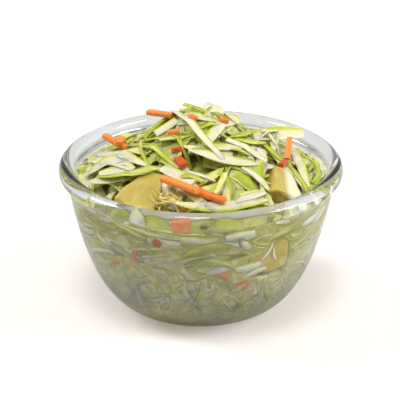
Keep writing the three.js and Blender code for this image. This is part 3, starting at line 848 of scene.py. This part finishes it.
cabbageLooks = {
    "cutCabbage": ["#E6E0BE", "#DAD87C", "#B8C242", "#98A82A"],  # from the white of a rib to the outer green
    "dressedCabbage": ["#F4F3E0", "#EAE7A6", "#CCD266", "#A9B248"],
    "places": (0.08, 0.38, 0.66, 1.0),
    "shade": "#8E8646",
    "cloudSize": 9.1,
    "veinScale": (2.2, 0.12, 1), "veinDetail": 1.6,  # across and along: a vein is about 5 mm long
}
carrotLooks = {
    "cutCarrot": [(0.15, "#F5B06C"), (0.4, "#EF9444"), (0.7, "#E67C2C"), (1.0, "#C8581C")],
    "dressedCarrot": [(0.15, "#E8B480"), (0.4, "#DE985E"), (0.7, "#D27E42"), (1.0, "#B85C2C")],
    "pineappleFibre": [(0.2, "#E6D794"), (0.5, "#DAC468"), (0.8, "#CDAE48"), (1.0, "#B08C30")],
    "grainScale": (1.6, 0.2, 1), "grainDetail": 1.8,  # across and along: a streak is about 3 mm long
}


# White cabbage cut across its leaves: wet, translucent and veined, greener towards one edge
def cabbageMaterial(name, pressed=False):
    material, tree = newMaterial(name)
    tone, edge, side, along = (addNode(tree, "ShaderNodeAttribute", attribute_name=n).outputs["Fac"]
                               for n in ("tone", "edge", "across", "along"))
    place = addNode(tree, "ShaderNodeTexCoord").outputs["Object"]
    cloud = addNode(tree, "ShaderNodeTexNoise", {
        "Vector": place, "Scale": waves(cabbageLooks["cloudSize"]), "Detail": 2})
    local = addNode(tree, "ShaderNodeCombineXYZ", {0: side, 1: along})
    veined = addNode(tree, "ShaderNodeMapping", {
        "Vector": local.outputs[0], "Scale": cabbageLooks["veinScale"]})
    veins = addNode(tree, "ShaderNodeTexNoise", {
        "Vector": veined.outputs[0], "Scale": cabbageLooks["veinDetail"], "Detail": 2})
    towards = addNode(tree, "ShaderNodeMath", {0: side, 1: edge}, operation="MULTIPLY")
    rind = addNode(tree, "ShaderNodeMapRange", {
        "Value": towards.outputs[0], "From Min": 0.3, "From Max": 0.85, "To Max": 0.55})
    greenness = addNode(tree, "ShaderNodeMath", {0: tone, 1: rind.outputs[0]}, operation="ADD")
    varied = addNode(tree, "ShaderNodeMath", {
        0: cloud.outputs["Fac"], 1: 0.7, 2: greenness.outputs[0]}, operation="MULTIPLY_ADD")
    centred = addNode(tree, "ShaderNodeMath", {0: varied.outputs[0], 1: 0.35}, operation="SUBTRACT")
    streaked = addNode(tree, "ShaderNodeMath", {
        0: veins.outputs["Fac"], 1: 0.35, 2: centred.outputs[0]}, operation="MULTIPLY_ADD")
    level = addNode(tree, "ShaderNodeMath", {0: streaked.outputs[0], 1: 0.17}, operation="SUBTRACT")
    stops = list(zip(cabbageLooks["places"], cabbageLooks[name]))
    colour = addNode(tree, "ShaderNodeValToRGB", {"Fac": level.outputs[0]}, stops=stops)
    final = colour.outputs[0]
    if pressed:  # the edges curve away from the glass into shade
        size = addNode(tree, "ShaderNodeMath", {0: side}, operation="ABSOLUTE")
        rim = addNode(tree, "ShaderNodeMapRange", {
            "Value": size.outputs[0], "From Min": 0.7, "From Max": 1.0, "To Max": 0.45})
        turned = addNode(tree, "ShaderNodeMix", {
            "Factor": rim.outputs[0], 6: final, 7: linearColour(cabbageLooks["shade"])}, data_type="RGBA")
        final = dressed(tree, place, turned.outputs[2])
    bump = addNode(tree, "ShaderNodeBump", {
        "Height": veins.outputs["Fac"], "Strength": 0.35, "Distance": 0.6 * mm})
    skin = addNode(tree, "ShaderNodeBsdfPrincipled", {
        "Base Color": final, "Roughness": 0.2, "Normal": bump.outputs[0], "IOR": 1.4,
        "Subsurface Weight": 0.7, "Subsurface Radius": (4 * mm, 4 * mm, 2.5 * mm), "Subsurface Scale": 0.8})
    addNode(tree, "ShaderNodeOutputMaterial", {"Surface": skin.outputs[0]})
    return material


# Raw carrot cut into sticks: moist and dense, paler near its core; torn pineapple fibre has the same build
def carrotMaterial(name, pressed=False):
    material, tree = newMaterial(name)
    tone, side, along = (addNode(tree, "ShaderNodeAttribute", attribute_name=n).outputs["Fac"]
                         for n in ("tone", "across", "along"))
    local = addNode(tree, "ShaderNodeCombineXYZ", {0: side, 1: along})
    grain = addNode(tree, "ShaderNodeMapping", {
        "Vector": local.outputs[0], "Scale": carrotLooks["grainScale"]})
    streaks = addNode(tree, "ShaderNodeTexNoise", {
        "Vector": grain.outputs[0], "Scale": carrotLooks["grainDetail"], "Detail": 3})
    level = addNode(tree, "ShaderNodeMath", {
        0: streaks.outputs["Fac"], 1: 0.5, 2: tone}, operation="MULTIPLY_ADD")
    colour = addNode(tree, "ShaderNodeValToRGB", {"Fac": level.outputs[0]}, stops=carrotLooks[name])
    final = colour.outputs[0]
    if pressed:
        final = dressed(tree, addNode(tree, "ShaderNodeTexCoord").outputs["Object"], final)
    bump = addNode(tree, "ShaderNodeBump", {
        "Height": streaks.outputs["Fac"], "Strength": 0.4, "Distance": 0.5 * mm})
    skin = addNode(tree, "ShaderNodeBsdfPrincipled", {
        "Base Color": final, "Roughness": 0.32, "Normal": bump.outputs[0], "IOR": 1.4,
        "Subsurface Weight": 0.25, "Subsurface Radius": (4 * mm, 1.5 * mm, 0.6 * mm),
        "Subsurface Scale": 0.5})
    addNode(tree, "ShaderNodeOutputMaterial", {"Surface": skin.outputs[0]})
    return material


filler = {
    "seed": 5, "tries": 3000, "most": 400, "radius": 59,
    "limit": 0.8,  # how far over the heap's surface they may stand
    "shares": {"carrot": 0.03, "strands": 0.16, "flakes": 0.4},  # a draw below each makes that kind
    "hollows": [(1.5, -31, 4.5), (-9, -53, 4), (-8, -27, 4)],  # x, y and radius of gaps that stay open
}
random = np.random.default_rng(filler["seed"])
hollowMap = np.zeros((cells, cells), bool)
for x, y, radius in filler["hollows"]:
    hollowMap |= np.hypot(mapX - x, mapY - y) < radius


def between(low, high, power=1.0):  # a random value, nearer to low with a higher power
    return low + (high - low) * random.random() ** power


def randomShred():
    turn = 2 * math.pi * random.random()
    radius = filler["radius"] * math.sqrt(random.random())
    shred = {
        "kind": "cabbage", "x": radius * math.cos(turn), "y": radius * math.sin(turn),
        "heading": 360 * random.random(), "wave": between(-0.35, 0.35),
        "edge": random.choice((-1.0, 1.0)) * between(0.4, 1.0), "spring": between(0, 3),
        "taper": between(0, 1), "cup": between(-0.3, 0.2),
    }
    draw, shares = random.random(), filler["shares"]
    if draw < shares["carrot"]:
        shred |= {"kind": "carrot", "width": 3.2, "thickness": 2.2, "taper": 0, "bend": between(-8, 8),
                  "length": between(8, 18), "tone": between(0.1, 0.6)}
    elif draw < shares["strands"]:  # fine and green
        shred |= {"length": between(14, 34), "width": between(1.4, 2.6), "thickness": 0.7,
                  "bend": between(-80, 80), "roll": between(-40, 40), "twist": between(-50, 50),
                  "tone": between(0.45, 0.75)}
    elif draw < shares["flakes"]:  # short and broad
        shred |= {"length": between(9, 20), "width": between(6, 11), "thickness": 0.7,
                  "bend": between(-20, 20), "taper": between(0, 0.5), "roll": between(-25, 25),
                  "twist": between(-20, 20), "tone": between(0.1, 0.6)}
    else:  # broad white ribbons with a green edge
        shred |= {"length": between(16, 42), "width": between(4.5, 9.5), "thickness": between(0.6, 0.9),
                  "bend": between(-35, 35), "roll": between(-25, 25), "twist": between(-45, 45),
                  "tone": between(0.0, 0.5)}
    return shred


def layUntilFull(done, makeShred, lay, rules):  # adds random shreds where there is room
    for _ in range(rules["tries"]):
        shred = lay(makeShred(), rules["limit"])
        if shred:
            done.append(shred)
        if len(done) >= rules["most"]:
            break
    return done


cabbage = {"kind": "cabbage", "width": 5, "thickness": 0.9, "taper": 0.7, "tone": 0.05, "edge": 1.0}
leaf = {**cabbage, "thickness": 0.8, "taper": 0.9, "tone": 0.35}
strand = {"kind": "cabbage", "width": 2.4, "thickness": 0.9, "taper": 0.3, "tone": 0.65, "edge": 1.0}
carrot = {"kind": "carrot", "width": 3.6, "thickness": 2.3, "taper": 0, "tone": 0.2, "edge": 0.0}
fibre = {"kind": "fibre", "width": 1.1, "thickness": 0.8, "taper": 0.4, "tone": 0.2, "edge": 0.0}


def put(kind, x, y, heading, length, **details):  # a chosen shred, by its middle in plan
    return {**kind, "x": x, "y": y, "heading": heading, "length": length, **details}


sunken = [  # laid first, so that loose shreds partly cover them
    put(carrot, -14, -30, -70, 12, tone=0.9),
    put(carrot, 12, -22, 10, 12, tone=0.7),
]
placed = [  # the shreds that give the heap its look, from the lowest to the topmost
    put(leaf, -40, 22, 60, 30, bend=40),
    put(leaf, 28, 34, -35, 34, bend=-36),
    put(leaf, -14, 30, 12, 32, bend=30),
    put(leaf, 21, -42, -32, 16, bend=-17, width=6),
    put(leaf, -48, -24, 23, 12, width=5, tone=0.7),
    put(cabbage, -45, -29, -18, 20, width=8, roll=-12, cup=0.2, tone=0.1),
    put(leaf, -36, -30, -12, 27, bend=46, width=11, tone=0.55, roll=8),
    put(cabbage, -40, -27, 2, 17, width=6, roll=-16, cup=0.2),
    put(cabbage, -44, -15, -53, 36, bend=25, width=9, roll=-10, cup=0.3),
    put(fibre, -18, -54, -40, 18, bend=60),
    put(fibre, -16, -53, -35, 17, bend=30, tone=0.4),
    put(fibre, -15, -50, 60, 20, bend=200),
    put(fibre, -9, -49, -60, 14, bend=80, tone=0.5),
    put(fibre, -11, -50, -50, 15, bend=50),
    put(fibre, -19, -51, 100, 12, bend=100, tone=0.4),
    put(fibre, -14, -52, 0, 26, bend=300),
    put(fibre, -15, -53, 40, 20, bend=250, tone=0.1),
    put(fibre, -12, -54, 140, 16, bend=160, tone=0.3),
    put(fibre, -13, -56, -30, 14, bend=-50, width=2, tone=0),
    put(fibre, -10, -55, -10, 13, bend=-90, tone=0.5),
    put(leaf, 12, -42, -71, 16, bend=-19, width=5, tone=0.65),
    put(leaf, 21, -40, -46, 13, bend=18, width=7, tone=0.75),
    put(leaf, 28, -30, -92, 13, bend=60, width=5.5, tone=0.6),
    put(cabbage, 26, -36, -43, 17, bend=-26, width=4),
    put(cabbage, 24, -47, 26, 13, width=4, roll=-20),
    put(cabbage, 12, -51, -94, 10, width=4.5, tone=0.2),
    put(cabbage, 48, -10, -81, 42, width=4.8),
    put(strand, 46, -23, -59, 24, bend=-15, width=2.2),
    put(strand, 54, 4, 5, 8, width=2.2),
    put(strand, 55, -2, 71, 15, width=2.4),
    put(strand, 56, -12, -96, 24, bend=-60, width=2),
    put(leaf, 38, 1, 10, 25, width=9, roll=-26, bend=-12, tone=0.04, tilt=-1, taper=0.45, cup=0.4, edge=1.2),
    put(cabbage, 36, -3, 80, 13, width=4, cup=0.4),
    put(cabbage, 33, 0, 30, 9, width=5, roll=30),
    put(strand, 35, -10, -46, 16, bend=17, width=2.6),
    put(carrot, 39.5, -19, 60, 4.5, width=2.6, tone=0.8),
    put(leaf, -32, -11, -54, 14, width=7, bend=11),
    put(strand, -28, -2, -40, 22, bend=44, width=1.4),
    put(strand, -27, -18, -77, 28, bend=28, width=1.8),
    put(strand, -20, -17, -68, 18, width=1.4),
    put(strand, -19, -21, -52, 28, width=3, tone=0.55),
    put(cabbage, -44, -18, -6, 25, width=9, roll=-8, cup=0.2, tone=0.08),
    put(cabbage, -40, -10, -54, 48, width=7, bend=25, roll=-16, taper=1, tone=0.12),
    put(leaf, -26, -31, 22, 20, width=6, tone=0.5, bend=20),
    put(leaf, -14, -11, -15, 19, bend=18, width=5, tone=0.65),
    put(cabbage, -14, -14, -6, 12, bend=-14, width=3.4, tone=0.2),
    put(cabbage, -17, -3, 20, 11, width=4.6, taper=0, roll=-20),
    put(strand, -9, -18, -55, 16, width=2.4),
    put(carrot, -9.5, -29, -60, 6, width=4.5, tone=0.95),
    put(carrot, -13, -11, 8, 6, width=1.8),
    put(carrot, -11.5, -21, 5, 5, width=1.6, tone=0.7),
    put(cabbage, -3, -20, -18, 10, width=5.5, cup=-0.3),
    put(strand, 0, -23, 15, 12, bend=30, width=3.2, tone=0.75),
    put(leaf, 11, -17, 4, 16, bend=40, width=9, tone=0.3, taper=0.4),
    put(leaf, 24, -8, 21, 16, width=7, tone=0.55),
    put(leaf, 21, -3, 44, 20, width=4, tone=0.7),
    put(strand, 19, -21, 3, 9, bend=39, width=2.4),
    put(strand, -20, 3, 216, 20, bend=40, width=2),
    put(leaf, 6, -4, 32, 20, bend=50, width=4.4, tone=0.7),
    put(leaf, -1, 0, -10, 20, bend=60, width=8, tone=0.25),
    put(strand, 2, 20, 30, 28, bend=60),
    put(leaf, 10, -57, 12, 46, width=6, bend=12, roll=-28, tone=0.15, edge=-1),
    put(cabbage, 23, -50, 33, 17, width=4, roll=-20),
    put(carrot, 2, -52, -24, 20, bend=10, width=4.2, tone=0.45),
    put(carrot, -9.5, -49, -33, 20, width=4, tilt=-5),
    put(cabbage, -11, -38, -42, 20, width=6.5, roll=-14, taper=0.4),
    put(strand, -4, -41, -13, 11, bend=-50, width=3.6, tone=0.6),
    put(cabbage, 0, -38, -33, 16, width=3),
    put(cabbage, 22, -17, -27, 21, width=4.2, taper=0.1, tone=0.02),
    put(cabbage, 11, -27, -3, 34, width=7.5, bend=18, roll=-12, taper=1),
    put(cabbage, 10, -5, 58, 33, width=6, bend=-20, roll=-16, taper=0.4),
    put(strand, 30, 2, -50, 26, width=1.8, tone=0.05),
    put(cabbage, 15, 7, -60, 12, width=6, cup=0.5, roll=20),
    put(carrot, 11, -2, 20, 4.5, width=2.6, tone=0.5),
    put(carrot, -4, -3, -50, 5, width=3.5, tone=0.5),
    put(strand, -4, 17, -20, 10, width=3.5, tone=0.7, tilt=-10),
    put(cabbage, 6.4, 11, -35, 12, width=5, roll=-30, taper=0.8, tilt=-30),
    put(cabbage, 3.5, 13, 72, 11, width=4, taper=1, tilt=30, tone=0.0, edge=0.4),
    put(carrot, -42, 1, -42, 15, width=3.2, tilt=-10),
    put(carrot, -39, 0, 80, 9, width=3.2),
    put(carrot, -20, 7, -30, 14, width=3.4, tilt=4),
    put(carrot, 42.5, -10, -100, 10, width=2.8, tilt=-35),
    put(cabbage, -2, -11, -56, 44, bend=14, width=5, roll=12, taper=0.5, tone=0.02),
    put(cabbage, 4, 3, 60, 9, width=6, roll=-50, taper=1),
    put(strand, 9, -47, 66, 13, width=3, tone=0.3, tilt=22),
]

laid = [layShred(shred) for shred in sunken]
laid += layUntilFull([], randomShred, layShred, filler)
laid += [layShred(shred) for shred in placed]
print(f"{len(laid)} shreds laid, top at {max(s['centre'][:, 2].max() for s in laid):.1f} mm")


# Shreds against the glass

wall = {
    "most": 1150, "tries": 6500, "thickness": 1.0,
    "limit": 3.6,  # how deep behind others a shred may lie, as the map counts it
    "proud": 0.45, "flattened": 0.11,  # the outermost reach this far into the glass, the others less
    "packed": 0.8,  # share of a shred's thickness that it takes from those behind it
    "sag": 0.012, "onFruit": 0.15,
    "lowest": 15, "belowEdge": 1, "belowBead": 0.8,
    "upperFrom": 44,  # about where the flat layers begin
    "carrots": {"share": 0.016, "low": 30, "high": 58},  # and the heights between which they lie
    "paleSide": (0.6, 0.9, 0.3),  # cosines of the angle between which shreds turn paler, and by how much
    "cells": (720, 150),  # of the map, round the bowl and up it
}
wallMap = np.zeros(wall["cells"])


def wallIndex(angle, z):
    i = np.rint(angle / (2 * math.pi) * wall["cells"][0]).astype(int) % wall["cells"][0]
    j = np.clip(np.rint(z / bowl["height"] * wall["cells"][1]).astype(int), 0, wall["cells"][1] - 1)
    return i, j


def edgeHeight(angle):
    return float(edgeHeightAt(np.array(angle)))


def pressShred(shred, limit=None):  # against the glass, or behind the shreds that are there already
    shred = {**shredDefaults, **shred}
    top = min(edgeHeight(shred["angle"]) - wall["belowEdge"], beadHeight - wall["belowBead"])
    count = max(4, round(shred["length"] / laying["step"]))
    plan = planLine(0, shred["z"], shred["heading"], shred["length"], shred["bend"], count)
    z = np.clip(plan[:, 1], wall["lowest"], top - shred["width"] / 2)
    around = shred["angle"] + plan[:, 0] / innerRadius(z)
    share = np.arange(count + 1) / count
    halfWidth = shred["width"] / 2 * taperAt(share, shred["taper"])
    halfThick = np.full(count + 1, shred["thickness"] / 2)
    angle = np.full(count + 1, math.radians(shred["roll"]))
    ahead = alongCurve(plan)
    offset = across[None, :] * halfWidth[:, None] * np.cos(angle)[:, None]
    sideways = ahead[:, 1:] * offset / innerRadius(z)[:, None]
    spots = wallIndex(around[:, None] - sideways, z[:, None] + ahead[:, :1] * offset)
    onFruit = np.mean([pastFruit(a, h) < 0 for a, h in zip(around, z)])
    depth = restOver(wallMap[spots].max(1), wall["sag"], 1)
    if limit is not None and (onFruit > wall["onFruit"] or depth.max() > limit):
        return None
    lean = np.abs(np.sin(angle)) * halfWidth
    taken = depth + lean + shred["thickness"] * wall["packed"]
    wallMap[spots] = np.maximum(wallMap[spots], taken[:, None])
    radius = glassInside(z) + wall["proud"] - depth * wall["flattened"] - lean - shred["thickness"] / 2
    centre = np.column_stack([radius * np.cos(around), radius * np.sin(around), z])
    slope = innerRadius(z + 0.5) - innerRadius(z - 0.5)
    outward = np.column_stack([np.cos(around), np.sin(around), -slope])
    outward /= np.linalg.norm(outward, axis=1, keepdims=True)
    return framed(shred, centre, outward, angle, halfWidth, halfThick)


def randomWallShred():
    angle = 2 * math.pi * random.random()
    top = min(edgeHeight(angle) - 2, beadHeight - 3)
    z = wall["lowest"] + (top - wall["lowest"]) * random.random() ** 0.8
    shred = {"kind": "cabbage", "angle": angle, "z": z, "edge": random.choice((-1.0, 1.0)),
             "thickness": wall["thickness"], "taper": between(0, 1)}
    if z > wall["upperFrom"] - 6 * random.random():  # layered flat under their own weight
        shred |= {"heading": between(-22, 22), "length": between(8, 26), "width": between(1.8, 7),
                  "bend": between(-50, 50), "roll": between(-40, 40)}
    else:  # loose, curled pieces in the dressing
        shred |= {"heading": between(-90, 90), "length": between(6, 20), "width": between(1.5, 5.5, 1.2),
                  "bend": between(-1, 1) * (230 if random.random() < 0.35 else 60), "roll": between(-40, 40)}
    draw, carrots = random.random(), wall["carrots"]
    if draw < carrots["share"] and carrots["low"] < z < carrots["high"]:
        shred |= {"kind": "carrot", "length": between(4, 8), "width": 3.0, "thickness": 2.2, "bend": 0,
                  "roll": 0, "taper": 0, "tone": between(0.2, 0.6)}
    else:
        green = draw < (0.4 if z > 50 else 0.22)
        shred["tone"] = between(0.45, 0.8) if green else between(0.12 if z > 46 else 0.0, 0.4)
        start, end, paler = wall["paleSide"]
        shred["tone"] -= paler * float(smoothStep(start, end, math.cos(angle)))
    return shred


def press(kind, degrees, z, heading, length, **details):  # a chosen shred against the glass, by its middle
    return {**kind, "angle": math.radians(degrees), "z": z, "heading": heading, "length": length, **details}


wallLeaf = {"kind": "cabbage", "thickness": 1.1, "taper": 0.6, "tone": 0.2, "edge": 1.0}
wallStick = {"kind": "carrot", "thickness": 2.3, "taper": 0, "tone": 0.4, "edge": 0.0}
wallPlaced = [  # what shows best through the front
    press(wallStick, -98, 66.8, 3, 8.5, width=6),
    press(wallStick, -109, 57.3, -40, 4.5, width=4.5, tone=0.7, taper=0.6),
    press(wallStick, -79, 39.3, -30, 6, width=4.5, taper=0.7),
    press(wallStick, -70, 34, 15, 6, width=2.4),
    press(wallStick, -67, 31, 60, 5, width=2.4),
    press(wallStick, -121, 48, 70, 6, width=2.4),
    press(wallStick, -134, 40, 20, 6, width=2.6),
    press(wallLeaf, -59, 50, 60, 10, width=2, bend=50, tone=0.1),
    press(wallLeaf, -55, 47, 110, 8, width=1.6, bend=-40, tone=0.1),
    press(wallLeaf, -88, 55, 15, 26, width=4, bend=-70, tone=0.75),
    press(wallLeaf, -86, 47, -5, 24, width=5, bend=-80, tone=0.6),
    press(wallLeaf, -73, 61.5, 4, 14, width=7, bend=15, tone=0.14, taper=0.5),
    press(wallLeaf, -71, 57, -50, 9, width=4.5, bend=60, tone=0.16),
    press(wallLeaf, -76, 57, -20, 9, width=3.5, bend=-50, tone=0.2),
    press(wallLeaf, -68, 43, 5, 13, width=6, bend=30, tone=0.18),
    press(wallLeaf, -64, 39, 15, 12, width=4, bend=-30, tone=0.1),
    press(wallLeaf, -82, 43, 12, 11, width=4.5, tone=0.0),
    press(wallLeaf, -92, 26, 72, 22, width=2.4, bend=30, tone=0.7),
    press(wallLeaf, -109, 29, 0, 17, width=1.8, bend=260, tone=0.6),
    press(wallLeaf, -112, 62, -8, 30, width=3, bend=10, tone=0.3),
    press(wallLeaf, -104, 65, -6, 34, width=2.6, bend=10, tone=0.5),
    press(wallLeaf, -124, 62, -20, 22, width=4, bend=20, tone=0.6),
    press(wallLeaf, -106, 58, 0, 16, width=7, tone=0.2),
    press(wallLeaf, -80, 67, 0, 18, width=6, tone=0.55),
    press(wallLeaf, -95, 61, -4, 26, width=5, tone=0.35, bend=20),
]

wallLaid = [pressShred(shred) for shred in wallPlaced]
layUntilFull(wallLaid, randomWallShred, pressShred, wall)
print(f"{len(wallLaid)} shreds against the glass")

groups = {  # the shreds, the kind, its material and the points of its section
    "cabbageShreds": (laid, "cabbage", cabbageMaterial("cutCabbage"), 12),
    "carrotSticks": (laid, "carrot", carrotMaterial("cutCarrot"), 12),
    "pineappleFibres": (laid, "fibre", carrotMaterial("pineappleFibre"), 12),
    "wallShreds": (wallLaid, "cabbage", cabbageMaterial("dressedCabbage", pressed=True), 8),
    "wallCarrots": (wallLaid, "carrot", carrotMaterial("dressedCarrot", pressed=True), 12),
}
for name, (shreds, kind, material, sectionCount) in groups.items():
    chosen = [shred for shred in shreds if shred["kind"] == kind]
    piece = sweptPiece(name, chosen, material, sectionCount, sweeping["squareness"][kind])
    finishPiece(piece, "pineapple" if kind == "fibre" else "slaw")


# Stage

stage = {
    "floor": "#EBE7E5", "floorShadedThroughGlass": "#D3D5D3",  # seen straight, and through glass, where it is painted greyer as shade
    "floorGlow": "#FFF3EF", "floorGlowStrength": 0.2,
    "sky": "#F4EFEA", "skyStrength": 0.3,
    "tent": [(0.0, "#CDD0D0"), (0.5, "#BFC2C3"), (1.0, "#AEB2B4")],  # what glass and wet surfaces mirror
    "tentFront": 0.95, "tentSides": {"left": 1.6, "right": 3.2},  # its strengths
    "tentEdges": (0.45, 0.95),  # how far to a side its brighter part starts and is full
    "floorGrain": 1.1, "floorHalf": 3000,
    "lamps": {  # azimuth anticlockwise from +X, and each lamp's share of the light on the open floor
        "right": {"azimuth": -12, "elevation": 40, "distance": 3, "size": 1.1, "share": 0.34},
        "left": {"azimuth": 164, "elevation": 46, "distance": 3, "size": 1.1, "share": 0.34},
        "above": {"azimuth": 255, "elevation": 75, "distance": 3, "size": 0.9, "share": 0.37},
    },
}


# A sheet of matt white board, lit a little from below, with painted shade: greyer where glass bends the view
# of it
def floorMaterial():
    material, tree = newMaterial("whiteBoard")
    place = addNode(tree, "ShaderNodeTexCoord").outputs["Object"]
    grain = addNode(tree, "ShaderNodeTexNoise", {"Vector": place, "Scale": waves(stage["floorGrain"])})
    bump = addNode(tree, "ShaderNodeBump", {
        "Height": grain.outputs["Fac"], "Strength": 0.02, "Distance": 0.2 * mm})
    ray = addNode(tree, "ShaderNodeLightPath")
    straight = addNode(tree, "ShaderNodeMath", {
        0: ray.outputs["Is Camera Ray"], 1: ray.outputs["Diffuse Depth"]}, operation="ADD", use_clamp=True)
    # painted shade on the floor wherever it is seen through the glass
    shadedFloor, plain = linearColour(stage["floorShadedThroughGlass"]), linearColour(stage["floor"])
    colour = addNode(tree, "ShaderNodeMix", {
        "Factor": straight.outputs[0], 6: shadedFloor, 7: plain}, data_type="RGBA")
    glow = addNode(tree, "ShaderNodeMath", {
        0: straight.outputs[0], 1: stage["floorGlowStrength"]}, operation="MULTIPLY")
    board = addNode(tree, "ShaderNodeBsdfPrincipled", {
        "Base Color": colour.outputs[2], "Roughness": 0.8, "Normal": bump.outputs[0],
        "Emission Color": linearColour(stage["floorGlow"]), "Emission Strength": glow.outputs[0]})
    addNode(tree, "ShaderNodeOutputMaterial", {"Surface": board.outputs[0]})
    return material


floorCorners = [(stage["floorHalf"] * i, stage["floorHalf"] * j, 0)
                for i, j in ((-1, -1), (1, -1), (1, 1), (-1, 1))]
meshObject("floor", floorCorners, [(0, 1, 2, 3)], floorMaterial())

scene = bpy.context.scene
scene.view_settings.view_transform = "Standard"
world = bpy.data.worlds.new("studio")
scene.world = world
world.use_nodes = True
sky = world.node_tree
sky.nodes.clear()
direction = addNode(sky, "ShaderNodeSeparateXYZ", {
    0: addNode(sky, "ShaderNodeTexCoord").outputs["Generated"]})
shade = addNode(sky, "ShaderNodeValToRGB", {"Fac": direction.outputs["Z"]}, stops=stage["tent"])
sides = [addNode(sky, "ShaderNodeMapRange", {
    "Value": direction.outputs["X"],
    "From Min": stage["tentEdges"][0] * sign, "From Max": stage["tentEdges"][1] * sign,
    "To Min": stage["tentFront"], "To Max": stage["tentSides"][side]})
    for side, sign in (("left", -1), ("right", 1))]
brighter = addNode(sky, "ShaderNodeMath", {
    0: sides[0].outputs[0], 1: sides[1].outputs[0]}, operation="MAXIMUM")
tent = addNode(sky, "ShaderNodeBackground", {"Color": shade.outputs[0], "Strength": brighter.outputs[0]})
dome = addNode(sky, "ShaderNodeBackground", {
    "Color": linearColour(stage["sky"]), "Strength": stage["skyStrength"]})
kind = addNode(sky, "ShaderNodeLightPath")
seen = addNode(sky, "ShaderNodeMixShader", {
    0: kind.outputs["Is Diffuse Ray"], 1: tent.outputs[0], 2: dome.outputs[0]})
addNode(sky, "ShaderNodeOutputWorld", {"Surface": seen.outputs[0]})

lookAt = Vector((0, 0, 0.05))  # what the lamps point at
for name, setting in stage["lamps"].items():
    azimuth, elevation = math.radians(setting["azimuth"]), math.radians(setting["elevation"])
    level = math.cos(elevation)
    towards = Vector((level * math.cos(azimuth), level * math.sin(azimuth), math.sin(elevation)))
    lamp = bpy.data.lights.new(name, "AREA")
    lamp.shape = "SQUARE"
    lamp.size = setting["size"]
    lamp.energy = setting["share"] * (math.pi * setting["distance"]) ** 2 / math.sin(elevation)
    lampObject = bpy.data.objects.new(name, lamp)
    lampObject.location = lookAt + towards * setting["distance"]
    lampObject.rotation_mode = "QUATERNION"
    lampObject.rotation_quaternion = (-towards).to_track_quat("-Z", "Y")
    scene.collection.objects.link(lampObject)

view = {
    "elevation": 25, "distance": 0.8, "sensor": 36,
    "width": 400, "pixelsPerMetre": 1990, "middle": (200.8, 227.2),  # pixels; the last is the bowl's middle
}
target = Vector((0, 0, bowl["height"] * mm / 2))
tilt = math.radians(view["elevation"])
back = Vector((0, -math.cos(tilt), math.sin(tilt)))
lens = bpy.data.cameras.new("camera")
lens.sensor_width = view["sensor"]
lens.lens = view["sensor"] * view["pixelsPerMetre"] * view["distance"] / view["width"]
lens.shift_x = (view["width"] / 2 - view["middle"][0]) / view["width"]
lens.shift_y = (view["middle"][1] - view["width"] / 2) / view["width"]
camera = bpy.data.objects.new("camera", lens)
camera.location = target + back * view["distance"]
camera.rotation_mode = "QUATERNION"
camera.rotation_quaternion = (-back).to_track_quat("-Z", "Y")
scene.collection.objects.link(camera)
scene.camera = camera
print("stage set")
